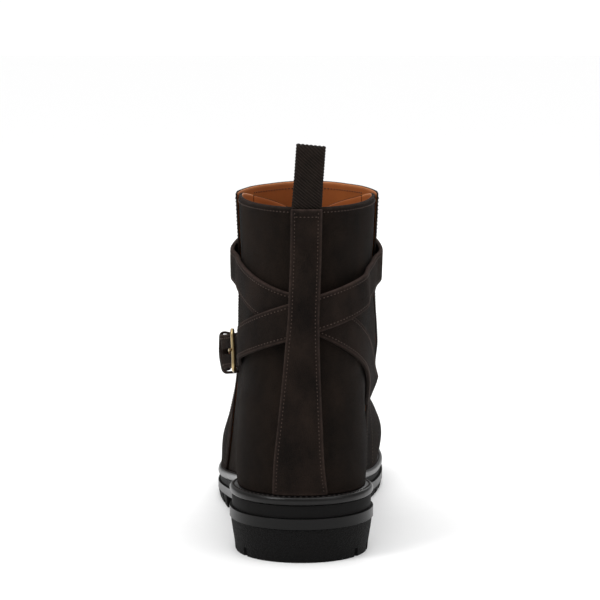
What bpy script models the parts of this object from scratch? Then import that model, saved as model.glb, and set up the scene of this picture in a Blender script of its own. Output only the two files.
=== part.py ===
"""Jodhpur boot for the left foot, standing empty on its sole.

Metres, +Z up. The toe points to +Y and the outer side of the foot to -X. The origin is on the floor under
the middle of the heel. Two functions carry every curved piece: sole_edge, the plan of the sole, and skin,
the outer surface of the quarters. Both take a turn, the angle round the boot: 0 at the back seam, positive
towards the inner side of the foot, pi at the toe and shin.
"""

import math
from collections import namedtuple

import bmesh
import bpy
import numpy as np

# Sole
SOLE_LENGTH = 0.298
HEEL_WIDTH = 0.076
BALL_WIDTH = 0.100
HEEL_BACK = 0.038  # origin to the rear edge of the sole
HEEL_LENGTH = 0.080  # rear edge to the breast
TOE_SPRING = 0.0095
HEEL_BLOCK = 0.0177
HEEL_TAPER = 0.0030
HEEL_TREAD = 0.0045
HEEL_GROOVE = 0.0028
LUG_DEPTH = 0.0042
LUG_LENGTH = 0.0108
LUG_GROOVE = 0.0036
LUG_CHEVRON = 0.0060
LUG_TAPER = 0.0011
PLATE_HEEL = 0.0055
PLATE_BALL = 0.0044
MIDSOLE_HEEL = 0.0065
MIDSOLE_BALL = 0.0030
MIDSOLE_RECESS = 0.0014
WELT = 0.0043
WELT_ROUND = 0.0013
WELT_DEPTH = 0.0105  # outer edge to inner edge
WELT_LEDGE = 0.0042  # how far the welt stands out past the upper
FOOTBED = 0.0026
GAP = 0.0003

# Upper
LEATHER = 0.0022
SHAFT_HEIGHT = 0.184  # floor to the collar at the back seam
COLLAR_RISE = 0.008  # how much higher the collar is at the shin
COLLAR_LENGTH = 0.1135
COLLAR_WIDTH = 0.073
COLLAR_BACK = 0.0275  # origin back to the collar's rear point
INSTEP_RISE = 0.080
FLARE = 0.0009  # how far the free rear edge of the front piece stands off at the collar

# Strips and straps
STAY_WIDTH = 0.0163
STAY_FOOT = 0.0294
STAY_THICK = 0.0015
STAY_SPREAD = 0.090  # height over which the backstay widens
STRAP_WIDTH = 0.0185
STRAP_THICK = 0.0023
STRAP_GAP = 0.0005
STRAP_TIP = 0.045  # past the buckle's rear bar
STRAP_POINT = 0.008  # length of the rounded tip
STRAP_END = 0.002  # length of the narrowed sewn end
HOLE = 0.0030
HOLE_FIRST = 0.026
HOLE_PITCH = 0.011
PRONG_SLOT = 0.0108
WEB_WIDTH = 0.0153
WEB_THICK = 0.0012
LOOP_HEIGHT = 0.032
LOOP_DEPTH = 0.0045
LOOP_TUCK = 0.013

# Buckle
BAR_RADIUS = 0.00115
PRONG_RADIUS = 0.0008
BAR_ROOM = 0.00025  # between a bar and what turns or folds round it
FRAME_LENGTH = 0.0148
FRAME_CORNER = 0.0035
CHAPE_WIDTH = 0.0160
CHAPE_THICK = 0.0014
CHAPE_LENGTH = 0.044
CHAPE_FOLD = 0.0135
KEEPER_WIDTH = 0.0065
KEEPER_THICK = 0.0012
KEEPER_AT = 0.034
KEEPER_BEND = 0.0020
KEEPER_ROOM = 0.0008
SIDE_ROOM = 0.0005

Plan = namedtuple("Plan", "along fullness centre")
Ring = namedtuple("Ring", "back height front front_height fullness centre")
Way = namedtuple("Way", "turn height")

# Plan of the sole: share of its length, half width over the ellipse, and where its middle lies.
# Fullness is a share of HEEL_WIDTH at the heel, passing to BALL_WIDTH; centre is a share of BALL_WIDTH.
SOLE_PLAN = (
    Plan(0.000, 0.987, 0.000),
    Plan(0.125, 0.757, 0.000),
    Plan(0.250, 0.532, -0.014),
    Plan(0.375, 0.446, -0.046),
    Plan(0.500, 0.437, -0.064),
    Plan(0.625, 0.492, -0.052),
    Plan(0.750, 0.552, -0.020),
    Plan(0.875, 0.588, 0.016),
    Plan(1.000, 0.660, 0.046),
)

# Rings of the upper over the foot. Back and front are shares of SOLE_LENGTH from the sole's rear edge,
# heights are shares of INSTEP_RISE over the welt, fullness and centre are shares of BALL_WIDTH at
# 0, 1/4, 1/2, 3/4 and 1 of the way from back to front.
FOOT_RINGS = (
    Ring(0.005, 0.22, 0.988, 0.170, (0.695, 0.393, 0.365, 0.540, 0.70), (-0.005, -0.01, -0.050, -0.022, 0.04)),
    Ring(0.008, 0.44, 0.956, 0.375, (0.660, 0.387, 0.368, 0.474, 0.64), (0.0, -0.003, -0.036, -0.020, 0.035)),
    Ring(0.020, 0.67, 0.872, 0.560, (0.596, 0.388, 0.376, 0.400, 0.55), (0.005, 0.003, -0.012, -0.015, 0.030)),
    Ring(0.032, 0.88, 0.765, 0.690, (0.530, 0.386, 0.382, 0.368, 0.46), (0.01, 0.012, 0.007, 0.010, 0.030)),
)

# Rings of the leg. Back and front are shares of COLLAR_LENGTH from the collar's rear point, heights are
# shares of the way up from the last ring of the foot to the collar, fullness and centre of COLLAR_WIDTH.
LEG_RINGS = (
    Ring(0.013, 0.209, 1.634, 0.125, (0.658, 0.528, 0.521, 0.496, 0.57), (0.022, 0.026, 0.025, 0.028, 0.041)),
    Ring(0.024, 0.405, 1.379, 0.297, (0.595, 0.515, 0.505, 0.486, 0.51), (0.03, 0.030, 0.026, 0.028, 0.034)),
    Ring(0.026, 0.603, 1.167, 0.521, (0.545, 0.504, 0.490, 0.476, 0.48), (0.037, 0.03, 0.025, 0.028, 0.034)),
    Ring(0.018, 0.802, 1.044, 0.760, (0.520, 0.504, 0.491, 0.478, 0.47), (0.042, 0.036, 0.031, 0.031, 0.034)),
    Ring(0.000, 1.000, 1.000, 1.000, (0.527, 0.512, 0.500, 0.486, 0.48), (0.046, 0.038, 0.032, 0.031, 0.034)),
)
TOP = len(FOOT_RINGS) + len(LEG_RINGS)

# The front piece laps the quarters between these turns, in half turns from the back seam.
LAP_REAR = 0.52
LAP_FRONT_TOP = 0.66
LAP_FRONT_LOW = 0.57
LAP_EASE = 0.14
LAP_FREE = 5  # ring above which the lap is not sewn

# Middle of the strap, from its sewn end on the inner side to its tip beyond the buckle: turn in half turns
# and height as a share of SHAFT_HEIGHT.
STRAP_WAY = (
    Way(0.45, 0.400),
    Way(0.33, 0.525),
    Way(0.18, 0.630),
    Way(0.05, 0.690),
    Way(-0.05, 0.708),
    Way(-0.20, 0.741),
    Way(-0.42, 0.793),
    Way(-0.70, 0.845),
    Way(-1.00, 0.872),
    Way(-1.30, 0.845),
    Way(-1.58, 0.790),
    Way(-1.80, 0.741),
    Way(-1.95, 0.703),
    Way(-2.05, 0.674),
    Way(-2.20, 0.620),
    Way(-2.35, 0.562),
    Way(-2.45, 0.528),
    Way(-2.60, 0.480),
    Way(-2.75, 0.440),
)
BUCKLE_TURN = -2.365

FINISHES = {
    "suede": ((0.030, 0.019, 0.015), 0.85, 0.0),
    "lining": ((0.36, 0.17, 0.08), 0.5, 0.0),
    "rubber": ((0.012, 0.012, 0.013), 0.55, 0.0),
    "welt": ((0.018, 0.016, 0.016), 0.35, 0.0),
    "webbing": ((0.035, 0.024, 0.018), 0.9, 0.0),
    "brass": ((0.55, 0.42, 0.22), 0.32, 1.0),
}


def smooth(share):
    """0 below 0, 1 above 1, and an even curve between."""
    share = np.clip(share, 0.0, 1.0)
    return share * share * (3.0 - 2.0 * share)


def bends(knots, values):
    """Second derivatives at the knots of the natural cubic spline through the values."""
    step = np.diff(knots)
    matrix = np.eye(len(knots))
    for row in range(1, len(knots) - 1):
        matrix[row, row - 1 : row + 2] = step[row - 1], 2 * (step[row - 1] + step[row]), step[row]
    shape = (-1,) + (1,) * (values.ndim - 1)
    slopes = np.diff(values, axis=0) / step.reshape(shape)
    right = np.zeros_like(values)
    right[1:-1] = 6.0 * np.diff(slopes, axis=0)
    return np.linalg.solve(matrix, right.reshape(len(knots), -1)).reshape(values.shape)


def spline(knots, values, at):
    """The natural cubic spline at each place: one curve for all, or a curve for each place."""
    knots = np.asarray(knots, float)
    values = np.asarray(values, float)
    at = np.atleast_1d(np.asarray(at, float))
    second = bends(knots, values)
    low = np.clip(np.searchsorted(knots, at, side="right") - 1, 0, len(knots) - 2)
    step = knots[low + 1] - knots[low]
    right = (at - knots[low]) / step
    left = 1.0 - right
    if values.ndim == 3:
        each = np.arange(len(at))
        first, last = values[low, each], values[low + 1, each]
        bend_first, bend_last = second[low, each], second[low + 1, each]
    else:
        first, last = values[low], values[low + 1]
        bend_first, bend_last = second[low], second[low + 1]
    grow = (slice(None),) + (None,) * (first.ndim - 1)
    left, right, step = left[grow], right[grow], step[grow]
    curve = (left**3 - left) * bend_first + (right**3 - right) * bend_last
    return left * first + right * last + curve * step**2 / 6.0


def passage(turn):
    """Share of the way from back to front at a turn round the boot."""
    return (1.0 - np.cos(turn)) / 2.0


def turn_at(share):
    """The turn on the inner side at a share of the way from back to front."""
    return np.arccos(1.0 - 2.0 * np.clip(share, 0.0, 1.0))


def sole_edge(turn, inset=0.0):
    """Plan points of the sole's outline, moved inwards by the inset."""
    turn = np.atleast_1d(np.asarray(turn, float))

    def outline(angle):
        share = passage(angle)
        along = [row.along for row in SOLE_PLAN]
        plan = spline(along, [(row.fullness, row.centre) for row in SOLE_PLAN], share)
        width = HEEL_WIDTH + (BALL_WIDTH - HEEL_WIDTH) * smooth((share - 0.25) / 0.375)
        across = plan[:, 1] * BALL_WIDTH + plan[:, 0] * width * np.sin(angle)
        return np.stack([across, share * SOLE_LENGTH - HEEL_BACK], axis=1)

    ahead = outline(turn + 1e-4) - outline(turn - 1e-4)
    ahead /= np.linalg.norm(ahead, axis=1)[:, None]
    inward = np.stack([-ahead[:, 1], ahead[:, 0]], axis=1)
    return outline(turn) + inward * np.reshape(inset, (-1, 1))


def along(y):
    """Share of the sole's length at a place."""
    return (y + HEEL_BACK) / SOLE_LENGTH


def heel_share(y):
    """1 at the heel and 0 at the ball: how much of the heel's lift is left."""
    return 1.0 - smooth((along(y) - 0.08) / 0.58)


def tread(y):
    """Height of the ground side of the sole: flat, then the toe spring."""
    return TOE_SPRING * np.clip((along(y) - 0.70) / 0.30, 0.0, 1.0) ** 1.8


def midsole_height(y):
    return MIDSOLE_BALL + (MIDSOLE_HEEL - MIDSOLE_BALL) * heel_share(y)


def plate_height(y):
    return PLATE_BALL + (PLATE_HEEL - PLATE_BALL) * heel_share(y)


def plate_bottom(y):
    return tread(y) + LUG_DEPTH + (HEEL_BLOCK + GAP - LUG_DEPTH) * heel_share(y)


def plate_top(y):
    return plate_bottom(y) + plate_height(y)


def midsole_top(y):
    return plate_top(y) + GAP + midsole_height(y)


def seat(y):
    """Top of the welt, which the upper and the footbed stand on."""
    return midsole_top(y) + GAP + WELT


def ring_points(turn):
    """Points of every ring of the upper at each turn, from the welt to the collar."""
    share = passage(turn)
    quarters = np.linspace(0.0, 1.0, 5)
    foot = sole_edge(turn, WELT_LEDGE)
    rings = [np.column_stack([foot, seat(foot[:, 1]) + 2 * GAP])]
    for row in FOOT_RINGS:
        y = SOLE_LENGTH * (row.back + (row.front - row.back) * share) - HEEL_BACK
        x = BALL_WIDTH * spline(quarters, row.centre, share)
        x = x + BALL_WIDTH * spline(quarters, row.fullness, share) * np.sin(turn)
        z = seat(y) + INSTEP_RISE * (row.height + (row.front_height - row.height) * share)
        rings.append(np.column_stack([x, y, z]))
    low = rings[-1][:, 2]
    collar = SHAFT_HEIGHT + COLLAR_RISE * share
    for row in LEG_RINGS:
        y = COLLAR_LENGTH * (row.back + (row.front - row.back) * share) - COLLAR_BACK
        x = COLLAR_WIDTH * spline(quarters, row.centre, share)
        x = x + COLLAR_WIDTH * spline(quarters, row.fullness, share) * np.sin(turn)
        rise = row.height + (row.front_height - row.height) * share
        rings.append(np.column_stack([x, y, low + (collar - low) * rise]))
    return np.array(rings)


def bare(turn, level):
    """Point of the quarters' outer surface at a turn and a ring number, which may lie between rings."""
    return spline(np.arange(TOP + 1.0), ring_points(turn), level)


def skin(turn, level, lift=0.0):
    """Point at a lift over the quarters' outer surface."""
    turn, level = (np.ravel(part).astype(float) for part in np.broadcast_arrays(turn, level))
    around = bare(turn + 1e-3, level) - bare(turn - 1e-3, level)
    up = bare(turn, np.minimum(level + 1e-3, TOP)) - bare(turn, np.maximum(level - 1e-3, 0.0))
    out = np.cross(around, up)
    out /= np.linalg.norm(out, axis=1)[:, None]
    return bare(turn, level) + out * np.reshape(np.broadcast_to(lift, turn.shape), (-1, 1))


def level_at(turn, height):
    """Ring number at which the surface reaches a height."""
    turn, height = (np.ravel(part).astype(float) for part in np.broadcast_arrays(turn, height))
    steps = np.linspace(0.0, TOP, 30 * TOP + 1)
    rings = ring_points(turn)[:, :, 2:]
    knots = np.arange(TOP + 1.0)
    column = spline(knots, rings[:, :, 0], steps)
    return np.array([np.interp(height[n], column[:, n], steps) for n in range(len(turn))])


def half_turns(turn):
    """Half turns from the back seam, whichever side and however often round."""
    wrapped = np.mod(np.asarray(turn, float) + math.pi, 2 * math.pi) - math.pi
    return np.abs(wrapped) / math.pi


def lap_front(level):
    """Where the quarters' front edge lies under the front piece."""
    return LAP_FRONT_LOW + (LAP_FRONT_TOP - LAP_FRONT_LOW) * smooth(np.asarray(level) / TOP)


def front_inside(turn, level):
    """Lift of the front piece's inner face over the quarters' outer surface."""
    where = half_turns(turn)
    edge = lap_front(level)
    free = np.clip((edge - where) / (edge - LAP_REAR), 0.0, 1.0) * smooth((np.asarray(level) - 6.0) / 3.0)
    return GAP + FLARE * free - (GAP + LEATHER) * smooth((where - edge) / LAP_EASE)


def outside(turn, level):
    """Lift of the upper's outermost face, eased before the front piece's rear edge for what crosses it."""
    where = half_turns(turn)
    lap = front_inside(np.maximum(where, LAP_REAR) * math.pi, level) + LEATHER
    return lap * smooth((where - LAP_REAR + 0.10) / 0.08)


def strap_curve():
    """Turn, height and running length along the middle of the strap."""
    ways = np.array(STRAP_WAY)
    order = np.linspace(0.0, 1.0, 900)
    turn = math.pi * (ways[0, 0] + (ways[-1, 0] - ways[0, 0]) * order)
    height = SHAFT_HEIGHT * spline(-math.pi * ways[:, 0], ways[:, 1], -turn)
    points = bare(turn, level_at(turn, height))
    run = np.concatenate([[0.0], np.cumsum(np.linalg.norm(np.diff(points, axis=0), axis=1))])
    return turn, height, run


STRAP_TURN, STRAP_HEIGHT, STRAP_RUN = strap_curve()
BUCKLE_RUN = float(np.interp(-math.pi * BUCKLE_TURN, -STRAP_TURN, STRAP_RUN))
PIVOT_LIFT = GAP + 2 * PRONG_RADIUS + BAR_ROOM + BAR_RADIUS
FOLD_TOP = PIVOT_LIFT + BAR_RADIUS + BAR_ROOM + CHAPE_THICK
REAR_LIFT = STRAP_GAP + STRAP_THICK + 2 * GAP + BAR_RADIUS
BAR_SIDE = STRAP_WIDTH / 2 + SIDE_ROOM + BAR_RADIUS


def on_strap(run, across, lift):
    """Point at a run from the buckle's rear bar, a distance across the strap and a lift over the upper."""
    run, across, lift = (np.ravel(part).astype(float) for part in np.broadcast_arrays(run, across, lift))
    reach = run + BUCKLE_RUN
    turn = np.interp(reach, STRAP_RUN, STRAP_TURN)
    height = np.interp(reach, STRAP_RUN, STRAP_HEIGHT)
    small = 1e-3
    here = bare(turn, level_at(turn, height))
    by_turn = (bare(turn + small, level_at(turn + small, height)) - here) / small
    by_height = (bare(turn, level_at(turn, height + small)) - here) / small
    nearby = [np.interp(reach + step, STRAP_RUN, STRAP_TURN) for step in (-small, small)]
    risen = [np.interp(reach + step, STRAP_RUN, STRAP_HEIGHT) for step in (-small, small)]
    ahead = bare(nearby[1], level_at(nearby[1], risen[1])) - bare(nearby[0], level_at(nearby[0], risen[0]))
    out = np.cross(by_turn, by_height)
    side = np.cross(ahead, out)
    side /= np.linalg.norm(side, axis=1)[:, None]
    turns, heights = [], []
    for first, second, aim in zip(by_turn, by_height, side):
        share = np.linalg.lstsq(np.column_stack([first, second]), aim, rcond=None)[0]
        turns.append(share[0])
        heights.append(share[1])
    turn = turn + np.array(turns) * across
    level = level_at(turn, height + np.array(heights) * across)
    return skin(turn, level, outside(turn, level) + lift)


def strap_lift(run):
    """Lift of the strap's under side: over its own first turn at the back seam, and through the buckle."""
    reach = np.asarray(run) + BUCKLE_RUN
    turn = np.interp(reach, STRAP_RUN, STRAP_TURN)
    second_time = turn < -1.5 * math.pi
    over = second_time * (1.0 - smooth((half_turns(turn) - 0.24) / 0.09))
    low = FOLD_TOP + GAP + STRAP_GAP
    flat = GAP + 2 * CHAPE_THICK + GAP + STRAP_GAP
    rows = (
        (-0.20 * FRAME_LENGTH, 0.0),
        (0.10 * FRAME_LENGTH, 0.03 * low),
        (0.54 * FRAME_LENGTH, 0.55 * low),
        (FRAME_LENGTH, low),
        (1.30 * FRAME_LENGTH, 0.96 * low),
        (FRAME_LENGTH + CHAPE_FOLD, flat),
        (STRAP_TIP, flat - GAP),
    )
    at = np.array([row[0] for row in rows])
    rise = np.array([row[1] for row in rows])
    return STRAP_GAP + over * (STRAP_THICK + STRAP_GAP) + np.interp(run, at, rise)


def finish(name):
    """Material of a finish, made once."""
    if name not in bpy.data.materials:
        colour, roughness, metallic = FINISHES[name]
        material = bpy.data.materials.new(name)
        material.use_nodes = True
        shader = material.node_tree.nodes["Principled BSDF"]
        shader.inputs["Base Color"].default_value = (*colour, 1.0)
        shader.inputs["Roughness"].default_value = roughness
        shader.inputs["Metallic"].default_value = metallic
        material.diffuse_color = (*colour, 1.0)
    return bpy.data.materials[name]


def add_mesh(name, mesh, finish_name, sharp=math.radians(35)):
    """Object of a bmesh, faces out, in the boot's collection."""
    bmesh.ops.recalc_face_normals(mesh, faces=mesh.faces)
    data = bpy.data.meshes.new(name)
    mesh.to_mesh(data)
    mesh.free()
    data.materials.append(finish(finish_name))
    data.shade_smooth()
    data.set_sharp_from_angle(angle=sharp)
    thing = bpy.data.objects.new(name, data)
    BOOT.objects.link(thing)
    return thing


def cell_mesh(filled, corners, wraps=False):
    """Closed mesh round the filled cells of a bent grid whose corners are given; it may close on itself."""
    mesh = bmesh.new()
    count = filled.shape
    made = {}

    def vertex(key):
        if wraps:
            key = (key[0] % count[0],) + key[1:]
        if key not in made:
            made[key] = mesh.verts.new(corners[key])
        return made[key]

    def is_filled(cell):
        if wraps:
            cell = (cell[0] % count[0],) + cell[1:]
        return all(0 <= cell[n] < count[n] for n in range(3)) and filled[cell]

    for cell in zip(*(part.tolist() for part in np.nonzero(filled))):
        for axis in range(3):
            for far in (0, 1):
                beside = tuple(cell[n] + (2 * far - 1) * (n == axis) for n in range(3))
                if is_filled(beside):
                    continue
                face = []
                for one, two in ((0, 0), (1, 0), (1, 1), (0, 1)):
                    key = list(cell)
                    key[axis] += far
                    key[(axis + 1) % 3] += one
                    key[(axis + 2) % 3] += two
                    face.append(vertex(tuple(key)))
                mesh.faces.new(face)
    return mesh


def add_slab(name, lower, upper, finish_name):
    """Closed piece between two grids of points."""
    corners = np.stack([lower, upper], axis=2)
    filled = np.ones((lower.shape[0] - 1, lower.shape[1] - 1, 1), bool)
    return add_mesh(name, cell_mesh(filled, corners), finish_name)


def plate_grid(stations, shares, inset, height, chevron=0.0):
    """Points across the sole at each station, at a height that follows its length."""
    grid = np.empty((len(stations), len(shares), 3))
    for column, share in enumerate(shares):
        bend = chevron * (1.0 - share * share) * np.sin(stations) ** 2 / (SOLE_LENGTH / 2)
        outer = sole_edge(-stations - bend, inset)
        inner = sole_edge(stations + bend, inset)
        plan = outer + (inner - outer) * (share + 1.0) / 2.0
        grid[:, column, :2] = plan
        grid[:, column, 2] = height(plan[:, 1])
    return grid


ENDS = 0.06  # turn at which a plate is cut flat, a few millimetres across
EDGES = (-1.0, 1.0)
LUG_SHARES = (-1.0, -0.60, -0.48, 0.48, 0.60, 1.0)


def add_outsole():
    """Full-length plate with rows of chevron lugs under the forefoot."""
    first = 0.475 * SOLE_LENGTH
    pitch = LUG_LENGTH + LUG_GROOVE
    rows = int((0.965 * SOLE_LENGTH - first) / pitch)
    places = [first + pitch * row + part for row in range(rows) for part in (0.0, LUG_LENGTH)]
    front = turn_at(np.array(places) / SOLE_LENGTH)
    rear = np.linspace(ENDS, front[0] - 0.05, 15)
    toe = np.linspace(front[-1] + 0.05, math.pi - ENDS, 5)
    stations = np.concatenate([rear, front, toe])
    shares = LUG_SHARES
    levels = (
        plate_grid(stations, shares, LUG_TAPER, tread, LUG_CHEVRON),
        plate_grid(stations, shares, 0.0, plate_bottom, LUG_CHEVRON),
        plate_grid(stations, shares, 0.0, plate_top, LUG_CHEVRON),
    )
    filled = np.zeros((len(stations) - 1, len(shares) - 1, 2), bool)
    filled[:, :, 1] = True
    filled[len(rear) : len(rear) + 2 * rows : 2, ::2, 0] = True
    return add_mesh("outsole", cell_mesh(filled, np.stack(levels, axis=2)), "rubber")


def add_heel_block():
    """Heel under the plate, narrower towards the floor, with a lugged bottom and a straight breast."""
    grooves = HEEL_LENGTH * np.array([0.20, 0.40, 0.60, 0.80])
    lugs = HEEL_LENGTH * np.array([0.0, 0.022, 0.065, 0.125, 0.30, 0.50, 0.70, 0.90])
    cuts = np.sort(np.concatenate([lugs, grooves, grooves + HEEL_GROOVE, [HEEL_LENGTH]]))
    stations = turn_at(cuts / SOLE_LENGTH)
    stations[0] = ENDS

    def body(y):
        return plate_bottom(y) - GAP

    levels = (
        plate_grid(stations, LUG_SHARES, HEEL_TAPER, np.zeros_like),
        plate_grid(stations, LUG_SHARES, HEEL_TAPER * 0.85, lambda y: np.full_like(y, HEEL_TREAD)),
        plate_grid(stations, LUG_SHARES, 2 * GAP, body),
    )
    filled = np.ones((len(stations) - 1, len(LUG_SHARES) - 1, 2), bool)
    filled[np.isin(cuts[:-1], grooves), :, 0] = False
    filled[:, 1::2, 0] = False
    return add_mesh("heel_block", cell_mesh(filled, np.stack(levels, axis=2)), "rubber")


def add_plate(name, inset, low, high, finish_name):
    """Plain full-length layer between two heights."""
    stations = np.linspace(ENDS, math.pi - ENDS, 30)
    lower = plate_grid(stations, EDGES, inset, low)
    upper = plate_grid(stations, EDGES, inset, high)
    return add_slab(name, lower, upper, finish_name)


def add_welt():
    """Rounded rand all round under the upper's edge."""
    turns = np.linspace(-math.pi, math.pi, 65)[:-1]
    insets = (0.0, WELT_ROUND, WELT_DEPTH)
    drops = (WELT_ROUND, 0.0, 0.0)
    corners = np.empty((len(turns), len(insets), 2, 3))
    for column, (inset, drop) in enumerate(zip(insets, drops)):
        plan = sole_edge(turns, inset)
        corners[:, column, :, :2] = plan[:, None]
        corners[:, column, 0, 2] = midsole_top(plan[:, 1]) + GAP + drop
        corners[:, column, 1, 2] = seat(plan[:, 1]) - drop
    filled = np.ones((len(turns), len(insets) - 1, 1), bool)
    return add_mesh("welt", cell_mesh(filled, corners, wraps=True), "welt", math.radians(60))


def add_insole():
    """Footbed: a plug inside the welt with a wider top that reaches the upper."""
    stations = np.linspace(ENDS, math.pi - ENDS, 30)
    plug = WELT_DEPTH + GAP
    rim = WELT_LEDGE + LEATHER + 2 * GAP
    levels = (
        (plug, lambda y: midsole_top(y) + GAP),
        (plug, lambda y: seat(y) + GAP),
        (rim, lambda y: seat(y) + GAP),
        (rim, lambda y: seat(y) + GAP + FOOTBED),
    )
    loops = []
    for inset, height in levels:
        grid = plate_grid(stations, EDGES, inset, height)
        loops.append(np.concatenate([grid[:, 0], grid[::-1, 1]]))
    mesh = bmesh.new()
    rows = [[mesh.verts.new(point) for point in loop] for loop in loops]
    size = len(rows[0])
    for low, high in zip(rows, rows[1:]):
        for n in range(size):
            mesh.faces.new((low[n], low[(n + 1) % size], high[(n + 1) % size], high[n]))
    for row in (rows[0], rows[-1]):
        for n in range(len(stations) - 1):
            mesh.faces.new((row[n], row[n + 1], row[size - 2 - n], row[size - 1 - n]))
    return add_mesh("insole", mesh, "lining")


def add_upper():
    """One hollow solid: quarters behind, and the front piece that laps outside them and is free at the top."""
    rows = np.linspace(0.0, TOP, 2 * TOP + 1)
    blocks = (("front", 10), ("lap", 3), ("rear", 20), ("lap", 3), ("front", 10))
    kinds = [kind for kind, count in blocks for _ in range(count)]
    corners = np.empty((len(kinds), len(rows), 4, 3))
    for row, level in enumerate(rows):
        edge = float(lap_front(level))
        marks = (-1.0, -edge, -LAP_REAR, LAP_REAR, edge, 1.0)
        lines = [
            np.linspace(first, last, count + 1)[:-1]
            for (_, count), first, last in zip(blocks, marks, marks[1:])
        ]
        turns = math.pi * np.concatenate(lines)
        inside = front_inside(turns, level)
        lifts = (np.full_like(turns, -LEATHER), np.zeros_like(turns), inside, inside + LEATHER)
        for layer, lift in enumerate(lifts):
            corners[:, row, layer] = skin(turns, level, lift)
    kind = np.array(kinds)
    filled = np.zeros((len(kinds), len(rows) - 1, 3), bool)
    filled[kind != "front", :, 0] = True
    filled[kind != "rear", :, 2] = True
    filled[kind == "lap", : 2 * LAP_FREE, 1] = True
    return add_mesh("upper", cell_mesh(filled, corners, wraps=True), "suede")


def crossing_lift(height):
    """How far the backstay is pushed out by the straps that pass under it."""
    low, high = 0.560 * SHAFT_HEIGHT, 0.832 * SHAFT_HEIGHT
    ease = 0.060 * SHAFT_HEIGHT
    bridge = smooth((height - low) / ease + 0.5) * (1.0 - smooth((height - high) / ease + 0.5))
    return 2 * (STRAP_THICK + STRAP_GAP) * bridge


def add_backstay():
    """Strip up the back seam, flared at the heel, bridging the straps and the pull loop's outer leg."""
    levels = np.concatenate([[0.12], np.linspace(0.5, 3.5, 7), np.linspace(3.75, 8.0, 19), [8.4, 8.7, TOP]])
    across = np.array([-1.0, -0.84, -0.42, 0.0, 0.42, 0.84, 1.0])
    edge = np.array([0.5, 1.0, 1.0, 1.0, 1.0, 1.0, 0.5])
    lower = np.empty((len(levels), len(across), 3))
    upper = np.empty_like(lower)
    for row, level in enumerate(levels):
        middle = bare(np.array([0.0]), [level])[0]
        speed = np.linalg.norm(bare(np.array([1e-3]), [level])[0] - middle) / 1e-3
        height = middle[2]
        spread = np.clip((0.69 * SHAFT_HEIGHT - height) / STAY_SPREAD, 0.0, 1.2) ** 1.2
        width = STAY_WIDTH + (STAY_FOOT - STAY_WIDTH) * spread
        tuck = smooth((height - SHAFT_HEIGHT + LOOP_TUCK + 0.006) / 0.005) * (WEB_THICK + 2 * GAP)
        lift = GAP + crossing_lift(height) + tuck
        turns = across * width / 2 / speed
        lower[row] = skin(turns, level, lift)
        upper[row] = skin(turns, level, lift + STAY_THICK * edge)
    return add_slab("backstay", lower, upper, "suede")


def add_strap():
    """The long strap, from its sewn end to its rounded tip, with holes for the prong."""
    start = -BUCKLE_RUN + STRAP_END / 2
    body = np.linspace(start + 2.5 * STRAP_END, -2 * STRAP_END, 88)
    buckled = np.linspace(-STRAP_END / 2, STRAP_TIP, 25)[:-1]
    point = np.linspace(0.25, 1.0, 4)
    runs = np.concatenate([[start, start + STRAP_END], body, buckled, STRAP_TIP + point * STRAP_POINT])
    widths = np.ones(len(runs))
    widths[0] = 0.80
    widths[-4:] = np.maximum(np.sqrt(1.0 - point), 0.30)
    across = np.array([-1.0, -0.86, 0.0, 0.86, 1.0])
    edge = np.array([0.55, 1.0, 1.0, 1.0, 0.55])
    run, side = np.meshgrid(runs, across, indexing="ij")
    reach = side * widths[:, None] * STRAP_WIDTH / 2
    lift = strap_lift(run)
    shape = run.shape + (3,)
    lower = on_strap(run, reach, lift).reshape(shape)
    upper = on_strap(run, reach, lift + STRAP_THICK * edge).reshape(shape)
    strap = add_slab("strap", lower, upper, "suede")
    hole = 0.64 * FRAME_LENGTH
    cut_slot(strap, hole, PRONG_SLOT)
    for place in (HOLE_FIRST, HOLE_FIRST + HOLE_PITCH):
        cut_slot(strap, place, HOLE)
    return strap


def cut_slot(strap, run, length):
    """Rounded slot through the strap at a run, made from a helper that is left out of the boot."""
    lift = float(strap_lift(run))
    turns = np.linspace(0.0, 2 * math.pi, 13)[:-1] + math.pi / 9
    straight = (length - HOLE) / 2
    along_slot = run + HOLE / 2 * np.cos(turns) + straight * np.sign(np.cos(turns))
    over = HOLE / 2 * np.sin(turns)
    mesh = bmesh.new()
    low = [mesh.verts.new(point) for point in on_strap(along_slot, over, lift - STRAP_THICK)]
    high = [mesh.verts.new(point) for point in on_strap(along_slot, over, lift + 2 * STRAP_THICK)]
    mesh.faces.new(low)
    mesh.faces.new(high[::-1])
    for n in range(len(low)):
        mesh.faces.new((low[n], high[n], high[(n + 1) % len(low)], low[(n + 1) % len(low)]))
    cut_with(strap, mesh)


def cut_with(thing, mesh):
    """Takes a closed mesh away from an object."""
    bmesh.ops.recalc_face_normals(mesh, faces=mesh.faces)
    data = bpy.data.meshes.new(thing.name + "_cutter")
    mesh.to_mesh(data)
    mesh.free()
    cutter = bpy.data.objects.new(data.name, data)
    CUTTERS.objects.link(cutter)
    cutter.hide_render = True
    cutter.display_type = "WIRE"
    boolean = thing.modifiers.new(data.name, "BOOLEAN")
    boolean.operation = "DIFFERENCE"
    boolean.solver = "EXACT"
    boolean.object = cutter


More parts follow.
